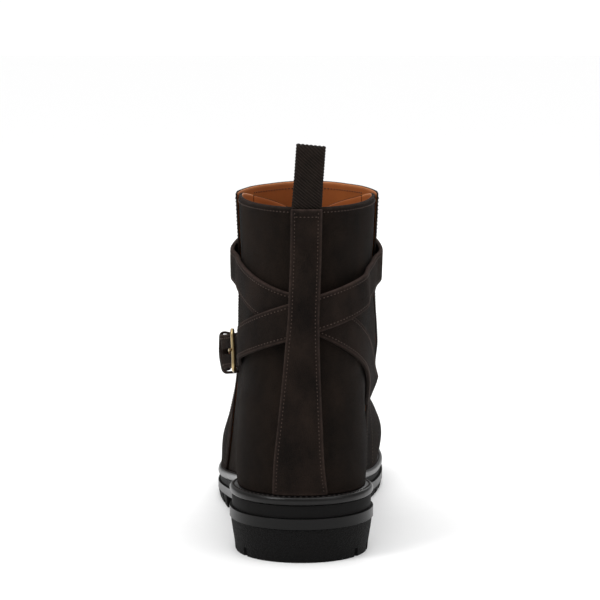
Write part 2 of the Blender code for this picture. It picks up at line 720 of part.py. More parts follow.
def tube(name, points, radius, closed, finish_name):
    """Round wire through the points, made a mesh."""
    curve = bpy.data.curves.new(name, "CURVE")
    curve.dimensions = "3D"
    curve.bevel_depth = radius
    curve.bevel_resolution = 2
    curve.use_fill_caps = not closed
    line = curve.splines.new("POLY")
    line.points.add(len(points) - 1)
    for point, place in zip(line.points, points):
        point.co = (*place, 1.0)
    line.use_cyclic_u = closed
    wire = bpy.data.objects.new(name + "_wire", curve)
    BOOT.objects.link(wire)
    bpy.context.view_layer.update()
    data = bpy.data.meshes.new_from_object(wire.evaluated_get(bpy.context.evaluated_depsgraph_get()))
    bpy.data.objects.remove(wire)
    mesh = bmesh.new()
    mesh.from_mesh(data)
    bmesh.ops.remove_doubles(mesh, verts=mesh.verts, dist=1e-6)
    bpy.data.meshes.remove(data)
    return add_mesh(name, mesh, finish_name, math.radians(60))


def add_buckle_frame():
    """Rectangular wire frame: its rear bar over the strap, its front bar in the chape's fold."""
    corners = (
        (FRAME_LENGTH, BAR_SIDE, 0.0),
        (0.0, BAR_SIDE, 0.5),
        (0.0, -BAR_SIDE, 1.0),
        (FRAME_LENGTH, -BAR_SIDE, 1.5),
    )
    runs, sides = [], []
    for run, side, start in corners:
        middle_run = run + math.copysign(FRAME_CORNER, FRAME_LENGTH / 2 - run)
        middle_side = side - math.copysign(FRAME_CORNER, side)
        for angle in math.pi * (start + np.array([0.0, 0.17, 0.33, 0.5])):
            runs.append(middle_run + FRAME_CORNER * math.cos(angle))
            sides.append(middle_side + FRAME_CORNER * math.sin(angle))
        runs.append(None)
        sides.append(None)
    line_runs, line_sides = [], []
    for n, run in enumerate(runs):
        if run is None:
            before, after = n - 1, (n + 1) % len(runs)
            for share in (0.25, 0.5, 0.75):
                line_runs.append(runs[before] + (runs[after] - runs[before]) * share)
                line_sides.append(sides[before] + (sides[after] - sides[before]) * share)
        else:
            line_runs.append(run)
            line_sides.append(sides[n])
    line_runs = np.array(line_runs)
    lift = REAR_LIFT + (PIVOT_LIFT - REAR_LIFT) * np.clip(line_runs / FRAME_LENGTH, 0.0, 1.0)
    return tube("buckle_frame", on_strap(line_runs, line_sides, lift), BAR_RADIUS, True, "brass")


def add_buckle_prong():
    """Prong: hooked round the front bar, through the strap's hole, its tip on the rear bar."""
    round_bar = BAR_RADIUS + BAR_ROOM + PRONG_RADIUS
    angles = np.radians(np.linspace(-150.0, 90.0, 9))
    runs = list(FRAME_LENGTH + round_bar * np.cos(angles))
    lifts = list(PIVOT_LIFT + round_bar * np.sin(angles))
    tip = -2 * BAR_RADIUS, REAR_LIFT + round_bar
    for share in (0.25, 0.5, 0.75, 1.0):
        runs.append(FRAME_LENGTH + (tip[0] - FRAME_LENGTH) * share)
        lifts.append(PIVOT_LIFT + round_bar + (tip[1] - PIVOT_LIFT - round_bar) * share)
    return tube("buckle_prong", on_strap(runs, 0.0, lifts), PRONG_RADIUS, False, "brass")


def folded(path, thick):
    """Inner and outer sides of a band folded along a path in its own plane."""
    path = np.array(path)
    ahead = np.gradient(path, axis=0)
    ahead /= np.linalg.norm(ahead, axis=1)[:, None]
    side = np.stack([-ahead[:, 1], ahead[:, 0]], axis=1) * thick / 2
    return path - side, path + side


def add_chape():
    """Leather tab folded round the buckle's front bar and sewn to the upper, with a slit for the prong."""
    turn = BAR_RADIUS + BAR_ROOM + CHAPE_THICK / 2
    high = GAP + 1.5 * CHAPE_THICK + GAP
    low = GAP + CHAPE_THICK / 2
    climb = PIVOT_LIFT + turn - high
    path = []
    for share, rise in ((1.0, 0.0), (0.74, 0.0), (0.58, 0.04), (0.41, 0.33), (0.185, 0.85)):
        path.append((FRAME_LENGTH + share * CHAPE_FOLD, high + rise * climb))
    for angle in np.radians((90.0, 120.0, 150.0, 180.0, 210.0)):
        path.append((FRAME_LENGTH + turn * math.cos(angle), PIVOT_LIFT + turn * math.sin(angle)))
    drop = PIVOT_LIFT - turn - low
    path.append((FRAME_LENGTH - 0.03 * CHAPE_FOLD, PIVOT_LIFT - turn))
    path.append((FRAME_LENGTH + 0.22 * CHAPE_FOLD, PIVOT_LIFT - turn - 0.6 * drop))
    for share in np.linspace(0.15, 1.0, 8):
        path.append((FRAME_LENGTH + CHAPE_LENGTH * share, low))
    inner, outer = folded(path, CHAPE_THICK)
    across = np.linspace(-0.5, 0.5, 5) * CHAPE_WIDTH
    narrow = np.ones(len(path))
    narrow[-1] = 0.55
    lower = [on_strap(p, across * w, q) for (p, q), w in zip(inner, narrow)]
    upper = [on_strap(p, across * w, q) for (p, q), w in zip(outer, narrow)]
    chape = add_slab("buckle_chape", np.array(lower), np.array(upper), "suede")
    mesh = bmesh.new()
    slit = turn + 1.5 * CHAPE_THICK
    side = PRONG_RADIUS + 2 * GAP
    rows = []
    for lift in (-CHAPE_THICK, FOLD_TOP + CHAPE_THICK):
        box = on_strap(FRAME_LENGTH + slit * np.array([-1, 1, 1, -1]), side * np.array([-1, -1, 1, 1]), lift)
        rows.append([mesh.verts.new(point) for point in box])
    mesh.faces.new(rows[0])
    mesh.faces.new(rows[1][::-1])
    for n in range(4):
        mesh.faces.new((rows[0][n], rows[1][n], rows[1][(n + 1) % 4], rows[0][(n + 1) % 4]))
    cut_with(chape, mesh)
    return chape


def add_keeper():
    """Small leather arch over the strap's tip, its feet on the upper."""
    side = STRAP_WIDTH / 2 + SIDE_ROOM + KEEPER_THICK / 2
    top = float(strap_lift(KEEPER_AT)) + STRAP_THICK + KEEPER_ROOM + KEEPER_THICK / 2
    bend = KEEPER_BEND
    path = [(-side, GAP), (-side, top / 2), (-side, top - bend), (-side + 0.3 * bend, top - 0.3 * bend)]
    path += [(-side + bend, top), (0.0, top), (side - bend, top)]
    path += [(side - 0.3 * bend, top - 0.3 * bend), (side, top - bend), (side, top / 2), (side, GAP)]
    inner, outer = folded(path, KEEPER_THICK)
    runs = KEEPER_AT + np.array([-0.5, 0.5]) * KEEPER_WIDTH
    lower = [on_strap(runs, p, q) for p, q in inner]
    upper = [on_strap(runs, p, q) for p, q in outer]
    return add_slab("keeper", np.array(lower), np.array(upper), "suede")


def add_pull_loop():
    """Folded webbing loop: outer leg under the backstay's top, inner leg down the lining."""
    rest = GAP + WEB_THICK / 2
    inner_leg = -LEATHER - rest
    bulge = LOOP_DEPTH / 2
    middle = (rest + inner_leg) / 2
    path = [
        (rest, -LOOP_TUCK),
        (rest, -0.5 * LOOP_TUCK),
        (rest, 0.0),
        (middle + bulge, 0.30 * LOOP_HEIGHT),
        (middle + bulge, 0.62 * LOOP_HEIGHT),
        (middle + 0.86 * bulge, 0.84 * LOOP_HEIGHT),
        (middle + 0.45 * bulge, 0.955 * LOOP_HEIGHT),
        (middle, 0.985 * LOOP_HEIGHT),
        (middle - 0.45 * bulge, 0.955 * LOOP_HEIGHT),
        (middle - 0.86 * bulge, 0.84 * LOOP_HEIGHT),
        (middle - bulge, 0.62 * LOOP_HEIGHT),
        (middle - bulge, 0.30 * LOOP_HEIGHT),
        (inner_leg, 0.0),
        (inner_leg, -0.7 * LOOP_TUCK),
        (inner_leg, -1.4 * LOOP_TUCK),
    ]
    across = np.linspace(-0.5, 0.5, 5) * WEB_WIDTH
    speed = np.linalg.norm(bare(1e-3, TOP) - bare(0.0, TOP)) / 1e-3
    grids = []
    for side in folded(path, WEB_THICK):
        grid = np.empty((len(path), len(across), 3))
        for row, (out, over) in enumerate(side):
            level = level_at(0.0, SHAFT_HEIGHT + min(over, 0.0))
            bent = skin(across / speed, level, out)
            flat = bare(0.0, level) + np.column_stack([across, np.full_like(across, -out), np.zeros_like(across)])
            share = smooth(over / (0.5 * LOOP_HEIGHT))
            grid[row] = bent + (flat - bent) * share + np.array([0.0, 0.0, max(over, 0.0)])
        grids.append(grid)
    return add_slab("pull_loop", grids[0], grids[1], "webbing")


for old in list(bpy.data.objects):
    bpy.data.objects.remove(old)
BOOT = bpy.data.collections.new("jodhpur_boot")
CUTTERS = bpy.data.collections.new("cutters")
bpy.context.scene.collection.children.link(BOOT)
bpy.context.scene.collection.children.link(CUTTERS)
add_outsole()
add_heel_block()
add_plate("midsole", MIDSOLE_RECESS, lambda y: plate_top(y) + GAP, midsole_top, "rubber")
add_welt()
add_insole()
add_upper()
add_backstay()
add_strap()
add_buckle_frame()
add_buckle_prong()
add_chape()
add_keeper()
add_pull_loop()
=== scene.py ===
"""Looks of the jodhpur boot: every visible surface of the left boot, dressed and lit.

Metres, +Z up, toe to +Y, outer side of the foot to -X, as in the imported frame. Two surfaces carry every
curved piece: the plan of the sole (Sole.edge) and the outer face of the quarters (Last.skin). Both take a
turn, the angle round the boot: 0 at the back seam, positive towards the inner side of the foot, pi at the
toe and shin.
"""

import logging
import math
from dataclasses import dataclass, field
from enum import Enum
from typing import Callable, NamedTuple, Sequence

import bmesh
import bpy
import numpy as np
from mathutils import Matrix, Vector


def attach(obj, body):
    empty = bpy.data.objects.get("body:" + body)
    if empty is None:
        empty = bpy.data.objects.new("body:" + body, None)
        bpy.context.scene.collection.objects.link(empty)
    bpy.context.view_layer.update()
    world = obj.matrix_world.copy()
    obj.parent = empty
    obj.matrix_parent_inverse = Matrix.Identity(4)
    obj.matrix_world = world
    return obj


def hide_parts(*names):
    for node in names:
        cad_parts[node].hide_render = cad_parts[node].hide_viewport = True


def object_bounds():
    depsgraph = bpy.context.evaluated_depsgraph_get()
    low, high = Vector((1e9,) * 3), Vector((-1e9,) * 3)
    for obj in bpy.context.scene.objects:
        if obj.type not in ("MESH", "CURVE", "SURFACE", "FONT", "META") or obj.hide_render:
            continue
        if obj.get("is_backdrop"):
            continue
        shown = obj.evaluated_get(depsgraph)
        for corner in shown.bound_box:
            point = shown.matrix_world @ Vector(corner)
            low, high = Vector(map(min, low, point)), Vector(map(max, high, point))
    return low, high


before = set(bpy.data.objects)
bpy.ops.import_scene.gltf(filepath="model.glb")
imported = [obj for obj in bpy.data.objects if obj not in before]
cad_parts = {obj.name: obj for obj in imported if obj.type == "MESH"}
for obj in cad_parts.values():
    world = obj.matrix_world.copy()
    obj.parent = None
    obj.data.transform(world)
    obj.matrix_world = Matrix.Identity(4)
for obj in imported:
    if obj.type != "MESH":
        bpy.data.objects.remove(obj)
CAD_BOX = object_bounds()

log = logging.getLogger("boot")

ROOT = "root"
GAP = 0.0003

Grid = np.ndarray
Height = Callable[[np.ndarray], np.ndarray]
GroupParts = tuple[bpy.types.NodeTree, bpy.types.Node, bpy.types.Node]


class Slot(Enum):
    """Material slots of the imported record."""

    RUBBER = "rubber"
    MIDSOLE = "midsole"
    WELT = "welt"
    LINING = "lining"
    SUEDE = "suede"
    WEBBING = "webbing"
    BRASS = "brass"


class Face(Enum):
    """Sides of a slab of leather or webbing, in the order of its materials."""

    OUTER = 0
    INNER = 1


class Plan(NamedTuple):
    """Row of the sole's plan: share of its length, half width over the ellipse, place of its middle."""

    along: float
    fullness: float
    centre: float


class Ring(NamedTuple):
    """Row of the upper: where a ring starts and ends, how high it is, how wide and how far to one side."""

    back: float
    height: float
    front: float
    front_height: float
    fullness: tuple[float, ...]
    centre: tuple[float, ...]


class Way(NamedTuple):
    """Place on the strap's middle line: half turns round the leg and share of the shaft's height."""

    turn: float
    height: float


class Crease(NamedTuple):
    """Soft fold of the upper: its middle, half length and half width, depth and tilt in radians."""

    turn: float
    height: float
    length: float
    width: float
    depth: float
    tilt: float


SOLE_PLAN = (
    Plan(0.000, 0.987, 0.000),
    Plan(0.125, 0.757, 0.000),
    Plan(0.250, 0.532, -0.014),
    Plan(0.375, 0.446, -0.046),
    Plan(0.500, 0.437, -0.064),
    Plan(0.625, 0.492, -0.052),
    Plan(0.750, 0.552, -0.020),
    Plan(0.875, 0.588, 0.016),
    Plan(1.000, 0.660, 0.046),
)

# Back and front are shares of the sole's length from its rear edge, heights are shares of the instep's
# rise over the welt, fullness and centre are shares of the ball's width at 0, 1/4, 1/2, 3/4 and 1 of the way.
FOOT_RINGS = (
    Ring(0.005, 0.22, 0.988, 0.17, (0.695, 0.393, 0.365, 0.54, 0.70), (-0.005, -0.01, -0.05, -0.022, 0.04)),
    Ring(0.008, 0.44, 0.956, 0.375, (0.660, 0.387, 0.368, 0.474, 0.64), (0.0, -0.003, -0.036, -0.020, 0.035)),
    Ring(0.020, 0.67, 0.872, 0.56, (0.596, 0.388, 0.376, 0.40, 0.55), (0.005, 0.003, -0.012, -0.015, 0.03)),
    Ring(0.032, 0.88, 0.765, 0.690, (0.530, 0.386, 0.382, 0.368, 0.46), (0.01, 0.012, 0.007, 0.010, 0.030)),
)

# Back and front are shares of the collar's length from its rear point, heights are shares of the way up
# from the last ring of the foot to the collar, fullness and centre are shares of the collar's width.
LEG_RINGS = (
    Ring(0.013, 0.209, 1.634, 0.125, (0.658, 0.528, 0.521, 0.496, 0.57), (0.022, 0.026, 0.025, 0.028, 0.041)),
    Ring(0.024, 0.405, 1.379, 0.297, (0.595, 0.515, 0.505, 0.486, 0.51), (0.03, 0.030, 0.026, 0.028, 0.034)),
    Ring(0.026, 0.603, 1.167, 0.521, (0.545, 0.504, 0.490, 0.476, 0.48), (0.037, 0.03, 0.025, 0.028, 0.034)),
    Ring(0.018, 0.802, 1.044, 0.760, (0.520, 0.504, 0.491, 0.478, 0.47), (0.042, 0.036, 0.031, 0.031, 0.034)),
    Ring(0.000, 1.000, 1.000, 1.000, (0.527, 0.512, 0.500, 0.486, 0.48), (0.046, 0.038, 0.032, 0.031, 0.034)),
)
TOP = len(FOOT_RINGS) + len(LEG_RINGS)

STRAP_WAY = (
    Way(0.45, 0.400),
    Way(0.33, 0.525),
    Way(0.18, 0.630),
    Way(0.05, 0.690),
    Way(-0.05, 0.708),
    Way(-0.20, 0.741),
    Way(-0.42, 0.793),
    Way(-0.70, 0.845),
    Way(-1.00, 0.872),
    Way(-1.30, 0.845),
    Way(-1.58, 0.790),
    Way(-1.80, 0.741),
    Way(-1.95, 0.703),
    Way(-2.05, 0.674),
    Way(-2.20, 0.620),
    Way(-2.35, 0.562),
    Way(-2.45, 0.528),
    Way(-2.60, 0.480),
    Way(-2.75, 0.440),
)

CREASES = (
    Crease(2.55, 0.080, 0.030, 0.0050, 0.0011, 0.10),
    Crease(-2.60, 0.084, 0.028, 0.0048, 0.0010, -0.12),
    Crease(3.05, 0.068, 0.034, 0.0052, 0.0009, 0.02),
    Crease(2.15, 0.098, 0.022, 0.0050, 0.0008, 0.45),
    Crease(-2.20, 0.100, 0.022, 0.0050, 0.0009, -0.42),
    Crease(1.15, 0.112, 0.016, 0.0046, 0.0005, -0.35),
    Crease(-1.05, 0.104, 0.015, 0.0046, 0.0006, 0.40),
    Crease(0.78, 0.094, 0.014, 0.0042, 0.0005, -0.15),
    Crease(-0.80, 0.088, 0.015, 0.0044, 0.0005, 0.20),
    Crease(2.80, 0.044, 0.022, 0.0040, 0.0007, 0.25),
    Crease(-2.75, 0.046, 0.024, 0.0042, 0.0008, -0.22),
    Crease(1.60, 0.150, 0.012, 0.0060, 0.0004, 1.35),
    Crease(-1.50, 0.152, 0.012, 0.0060, 0.0004, -1.30),
)


def smooth(share: np.ndarray | float) -> np.ndarray:
    """Eases a share.

    Args:
        share: any number.

    Returns:
        0 below 0, 1 above 1, and an even curve between.
    """
    share = np.clip(share, 0.0, 1.0)
    return share * share * (3.0 - 2.0 * share)


def bends(knots: np.ndarray, values: np.ndarray) -> np.ndarray:
    """Second derivatives at the knots of the natural cubic spline.

    Args:
        knots: rising places.
        values: value, or array of values, at each knot.

    Returns:
        Array of the shape of values.
    """
    step = np.diff(knots)
    matrix = np.eye(len(knots))
    for row in range(1, len(knots) - 1):
        matrix[row, row - 1 : row + 2] = step[row - 1], 2 * (step[row - 1] + step[row]), step[row]
    slopes = np.diff(values, axis=0) / step.reshape((-1,) + (1,) * (values.ndim - 1))
    right = np.zeros_like(values)
    right[1:-1] = 6.0 * np.diff(slopes, axis=0)
    return np.linalg.solve(matrix, right.reshape(len(knots), -1)).reshape(values.shape)


def spline(knots: Sequence[float], values: Sequence, at: np.ndarray | float) -> np.ndarray:
    """The natural cubic spline.

    Args:
        knots: rising places.
        values: values at the knots, or one column of them for each place.
        at: places to read.

    Returns:
        The curve at each place.
    """
    knots = np.asarray(knots, float)
    values = np.asarray(values, float)
    at = np.atleast_1d(np.asarray(at, float))
    second = bends(knots, values)
    low = np.clip(np.searchsorted(knots, at, side="right") - 1, 0, len(knots) - 2)
    step = knots[low + 1] - knots[low]
    right = (at - knots[low]) / step
    left = 1.0 - right
    pick = (low, np.arange(len(at))) if values.ndim == 3 else (low,)
    after = (low + 1,) + pick[1:]
    first, last = values[pick], values[after]
    grow = (slice(None),) + (None,) * (first.ndim - 1)
    left, right, step = left[grow], right[grow], step[grow]
    curve = (left**3 - left) * second[pick] + (right**3 - right) * second[after]
    return left * first + right * last + curve * step**2 / 6.0


def passage(turn: np.ndarray) -> np.ndarray:
    """Share of the way from back to front at a turn round the boot."""
    return (1.0 - np.cos(turn)) / 2.0


def turn_at(share: np.ndarray) -> np.ndarray:
    """The turn on the inner side at a share of the way from back to front."""
    return np.arccos(1.0 - 2.0 * np.clip(share, 0.0, 1.0))


def half_turns(turn: np.ndarray) -> np.ndarray:
    """Half turns from the back seam, whichever side and however often round."""
    wrapped = np.mod(np.asarray(turn, float) + math.pi, 2 * math.pi) - math.pi
    return np.abs(wrapped) / math.pi


def flat_arrays(*parts: np.ndarray | float) -> list[np.ndarray]:
    """Brings numbers and arrays to flat arrays of one length."""
    return [np.ravel(part).astype(float) for part in np.broadcast_arrays(*parts)]


def unit(vectors: np.ndarray) -> np.ndarray:
    """Vectors of length 1."""
    return vectors / np.maximum(np.linalg.norm(vectors, axis=-1, keepdims=True), 1e-12)


def mirrored(half: Sequence[float]) -> np.ndarray:
    """Rising places up to 0, with the same again on the other side."""
    return np.concatenate([half, -np.array(half)[-2::-1]])


def lengths(points: np.ndarray) -> np.ndarray:
    """Running length along a line of points."""
    return np.concatenate([[0.0], np.cumsum(np.linalg.norm(np.diff(points, axis=0), axis=1))])


@dataclass(frozen=True)
class Sole:
    """Sizes of the sole and the surfaces that they give."""

    length: float = 0.298
    heel_width: float = 0.076
    ball_width: float = 0.100
    heel_back: float = 0.038
    heel_length: float = 0.080
    toe_spring: float = 0.0095
    heel_block: float = 0.0177
    heel_taper: float = 0.0030
    heel_tread: float = 0.0045
    heel_groove: float = 0.0028
    lug_depth: float = 0.0042
    lug_length: float = 0.0108
    lug_groove: float = 0.0036
    lug_chevron: float = 0.0060
    lug_taper: float = 0.0011
    plate_heel: float = 0.0055
    plate_ball: float = 0.0044
    midsole_heel: float = 0.0065
    midsole_ball: float = 0.0030
    midsole_recess: float = 0.0014
    welt: float = 0.0043
    welt_round: float = 0.0013
    welt_depth: float = 0.0105
    welt_ledge: float = 0.0042
    footbed: float = 0.0026

    def outline(self, angle: np.ndarray) -> np.ndarray:
        """Plan of the sole.

        Args:
            angle: turns round the boot.

        Returns:
            A point in plan for each turn.
        """
        share = passage(angle)
        rows = [(row.fullness, row.centre) for row in SOLE_PLAN]
        plan = spline([row.along for row in SOLE_PLAN], rows, share)
        width = self.heel_width + (self.ball_width - self.heel_width) * smooth((share - 0.25) / 0.375)
        across = plan[:, 1] * self.ball_width + plan[:, 0] * width * np.sin(angle)
        return np.stack([across, share * self.length - self.heel_back], axis=1)

    def edge(self, turn: np.ndarray, inset: np.ndarray | float = 0.0) -> np.ndarray:
        """Outline moved inwards.

        Args:
            turn: turns round the boot.
            inset: how far inwards.

        Returns:
            A point in plan for each turn.
        """
        turn = np.atleast_1d(np.asarray(turn, float))
        ahead = unit(self.outline(turn + 1e-4) - self.outline(turn - 1e-4))
        inward = np.stack([-ahead[:, 1], ahead[:, 0]], axis=1)
        return self.outline(turn) + inward * np.reshape(inset, (-1, 1))

    def along(self, y: np.ndarray) -> np.ndarray:
        """Share of the sole's length at a place."""
        return (y + self.heel_back) / self.length

    def heel_share(self, y: np.ndarray) -> np.ndarray:
        """How much of the heel's lift is left: 1 at the heel and 0 at the ball."""
        return 1.0 - smooth((self.along(y) - 0.08) / 0.58)

    def tread(self, y: np.ndarray) -> np.ndarray:
        """Height of the ground side: flat, then the toe spring."""
        return self.toe_spring * np.clip((self.along(y) - 0.70) / 0.30, 0.0, 1.0) ** 1.8

    def plate_bottom(self, y: np.ndarray) -> np.ndarray:
        """Under side of the outsole's plate."""
        lift = self.heel_block + GAP - self.lug_depth
        return self.tread(y) + self.lug_depth + lift * self.heel_share(y)

    def plate_top(self, y: np.ndarray) -> np.ndarray:
        """Upper side of the outsole's plate."""
        more = (self.plate_heel - self.plate_ball) * self.heel_share(y)
        return self.plate_bottom(y) + self.plate_ball + more

    def midsole_top(self, y: np.ndarray) -> np.ndarray:
        """Upper side of the midsole."""
        more = (self.midsole_heel - self.midsole_ball) * self.heel_share(y)
        return self.plate_top(y) + GAP + self.midsole_ball + more

    def seat(self, y: np.ndarray) -> np.ndarray:
        """Top of the welt."""
        return self.midsole_top(y) + GAP + self.welt

    def plate_grid(self, stations: np.ndarray, shares: Sequence[float], inset: float, height: Height,
                   chevron: float = 0.0) -> Grid:
        """Points across the sole.

        Args:
            stations: turns, one for each row.
            shares: places across, from -1 on the outer side to 1 on the inner side.
            inset: how far in from the outline.
            height: height for a place along the sole.
            chevron: how far the middle of a row lies ahead of its ends.

        Returns:
            Grid of points, rows along the sole and columns across.
        """
        grid = np.empty((len(stations), len(shares), 3))
        for column, share in enumerate(shares):
            bend = chevron * (1.0 - share * share) * np.sin(stations) ** 2 / (self.length / 2)
            outer = self.edge(-stations - bend, inset)
            inner = self.edge(stations + bend, inset)
            plan = outer + (inner - outer) * (share + 1.0) / 2.0
            grid[:, column, :2] = plan
            grid[:, column, 2] = height(plan[:, 1])
        return grid


@dataclass(frozen=True)
class Last:
    """Sizes of the upper and the surface that they give."""

    sole: Sole = field(default_factory=Sole)
    leather: float = 0.0022
    shaft_height: float = 0.184
    collar_rise: float = 0.008
    collar_length: float = 0.1135
    collar_width: float = 0.073
    collar_back: float = 0.0275
    instep_rise: float = 0.080
    flare: float = 0.0009
    lap_rear: float = 0.52
    lap_front_top: float = 0.66
    lap_front_low: float = 0.57
    lap_ease: float = 0.14

    def ring_points(self, turn: np.ndarray) -> np.ndarray:
        """Points of every ring of the upper, from the welt to the collar.

        Args:
            turn: turns round the boot.

        Returns:
            Array of rings by turns by coordinates.
        """
        sole = self.sole
        share = passage(turn)
        quarters = np.linspace(0.0, 1.0, 5)
        foot = sole.edge(turn, sole.welt_ledge)
        rings = [np.column_stack([foot, sole.seat(foot[:, 1]) + 2 * GAP])]
        for row in FOOT_RINGS:
            y = sole.length * (row.back + (row.front - row.back) * share) - sole.heel_back
            x = sole.ball_width * spline(quarters, row.centre, share)
            x = x + sole.ball_width * spline(quarters, row.fullness, share) * np.sin(turn)
            z = sole.seat(y) + self.instep_rise * (row.height + (row.front_height - row.height) * share)
            rings.append(np.column_stack([x, y, z]))
        low = rings[-1][:, 2]
        collar = self.shaft_height + self.collar_rise * share
        for row in LEG_RINGS:
            y = self.collar_length * (row.back + (row.front - row.back) * share) - self.collar_back
            x = self.collar_width * spline(quarters, row.centre, share)
            x = x + self.collar_width * spline(quarters, row.fullness, share) * np.sin(turn)
            rise = row.height + (row.front_height - row.height) * share
            rings.append(np.column_stack([x, y, low + (collar - low) * rise]))
        return np.array(rings)

    def bare(self, turn: np.ndarray, level: np.ndarray) -> np.ndarray:
        """Points of the quarters' outer surface at turns and ring numbers."""
        return spline(np.arange(TOP + 1.0), self.ring_points(np.atleast_1d(turn)), level)

    def normal(self, turn: np.ndarray, level: np.ndarray) -> np.ndarray:
        """Directions out of the quarters' outer surface.

        Args:
            turn: turns round the boot.
            level: ring numbers.

        Returns:
            A unit vector for each place.
        """
        around = self.bare(turn + 1e-3, level) - self.bare(turn - 1e-3, level)
        up = self.bare(turn, np.minimum(level + 1e-3, TOP)) - self.bare(turn, np.maximum(level - 1e-3, 0.0))
        return unit(np.cross(around, up))

    def skin(self, turn: np.ndarray, level: np.ndarray, lift: np.ndarray | float = 0.0) -> np.ndarray:
        """Points at a lift over the quarters' outer surface.

        Args:
            turn: turns round the boot.
            level: ring numbers.
            lift: distance out of the surface.

        Returns:
            A point for each place.
        """
        turn, level, lift = flat_arrays(turn, level, lift)
        return self.bare(turn, level) + self.normal(turn, level) * lift[:, None]

    def skin_grid(self, turn: Grid, level: Grid, lift: np.ndarray | float) -> Grid:
        """Points at a lift over the quarters' outer surface, in the shape that the numbers spread to."""
        shape = np.broadcast(turn, level, lift).shape
        return self.skin(turn, level, lift).reshape(shape + (3,))

    @property
    def collar_speed(self) -> float:
        """Metres round the collar for one radian of turn at the back seam."""
        return float(np.linalg.norm(self.bare(1e-3, [TOP]) - self.bare(0.0, [TOP]))) / 1e-3

    def level_at(self, turn: np.ndarray, height: np.ndarray) -> np.ndarray:
        """Ring number at which the surface reaches a height.

        Args:
            turn: turns round the boot.
            height: heights over the floor.

        Returns:
            A ring number for each place.
        """
        turn, height = flat_arrays(turn, height)
        steps = np.linspace(0.0, TOP, 30 * TOP + 1)
        rings = self.ring_points(turn)[:, :, 2]
        column = spline(np.arange(TOP + 1.0), rings, steps)
        low = np.clip(np.sum(column <= height, axis=0) - 1, 0, len(steps) - 2)
        each = np.arange(len(turn))
        share = (height - column[low, each]) / (column[low + 1, each] - column[low, each])
        return steps[low] + np.clip(share, 0.0, 1.0) * (steps[1] - steps[0])

    def lap_front(self, level: np.ndarray | float) -> np.ndarray:
        """Where the quarters' front edge lies under the front piece, in half turns."""
        more = self.lap_front_top - self.lap_front_low
        return self.lap_front_low + more * smooth(np.asarray(level) / TOP)

    def front_inside(self, turn: np.ndarray, level: np.ndarray) -> np.ndarray:
        """Lift of the front piece's inner face over the quarters' outer surface.

        Args:
            turn: turns round the boot.
            level: ring numbers.

        Returns:
            A lift for each place.
        """
        where = half_turns(turn)
        edge = self.lap_front(level)
        free = np.clip((edge - where) / (edge - self.lap_rear), 0.0, 1.0)
        free = free * smooth((np.asarray(level) - 6.0) / 3.0)
        return GAP + self.flare * free - (GAP + self.leather) * smooth((where - edge) / self.lap_ease)

    def outside(self, turn: np.ndarray, level: np.ndarray) -> np.ndarray:
        """Lift of the upper's outermost face, eased before the front piece's rear edge.

        Args:
            turn: turns round the boot.
            level: ring numbers.

        Returns:
            A lift for each place.
        """
        where = half_turns(turn)
        lap = self.front_inside(np.maximum(where, self.lap_rear) * math.pi, level) + self.leather
        return lap * smooth((where - self.lap_rear + 0.10) / 0.08)

    def folds(self, turn: np.ndarray, height: np.ndarray) -> np.ndarray:
        """Depth of the soft folds, with a low swell of the whole surface.

        Args:
            turn: turns round the boot.
            height: heights over the floor.

        Returns:
            A lift for each place, below 0 in a trough.
        """
        radius = 0.036
        lift = 0.00012 * np.sin(3.0 * turn + 90.0 * height) * np.sin(120.0 * height + 1.3)
        for fold in CREASES:
            around = (np.mod(turn - fold.turn + math.pi, 2 * math.pi) - math.pi) * radius
            up = height - fold.height
            length = around * math.cos(fold.tilt) + up * math.sin(fold.tilt)
            across = (up * math.cos(fold.tilt) - around * math.sin(fold.tilt)) / fold.width
            fade = np.exp(-((length / fold.length) ** 2) * 2.0)
            trough = 1.6 * np.exp(-(across**2))
            ridge = np.exp(-((across - 1.7) ** 2)) + np.exp(-((across + 1.7) ** 2))
            lift = lift + fold.depth * fade * (0.28 * ridge - trough)
        return lift * smooth((half_turns(turn) * math.pi - 0.25) / 0.3) * smooth((0.178 - height) / 0.02)


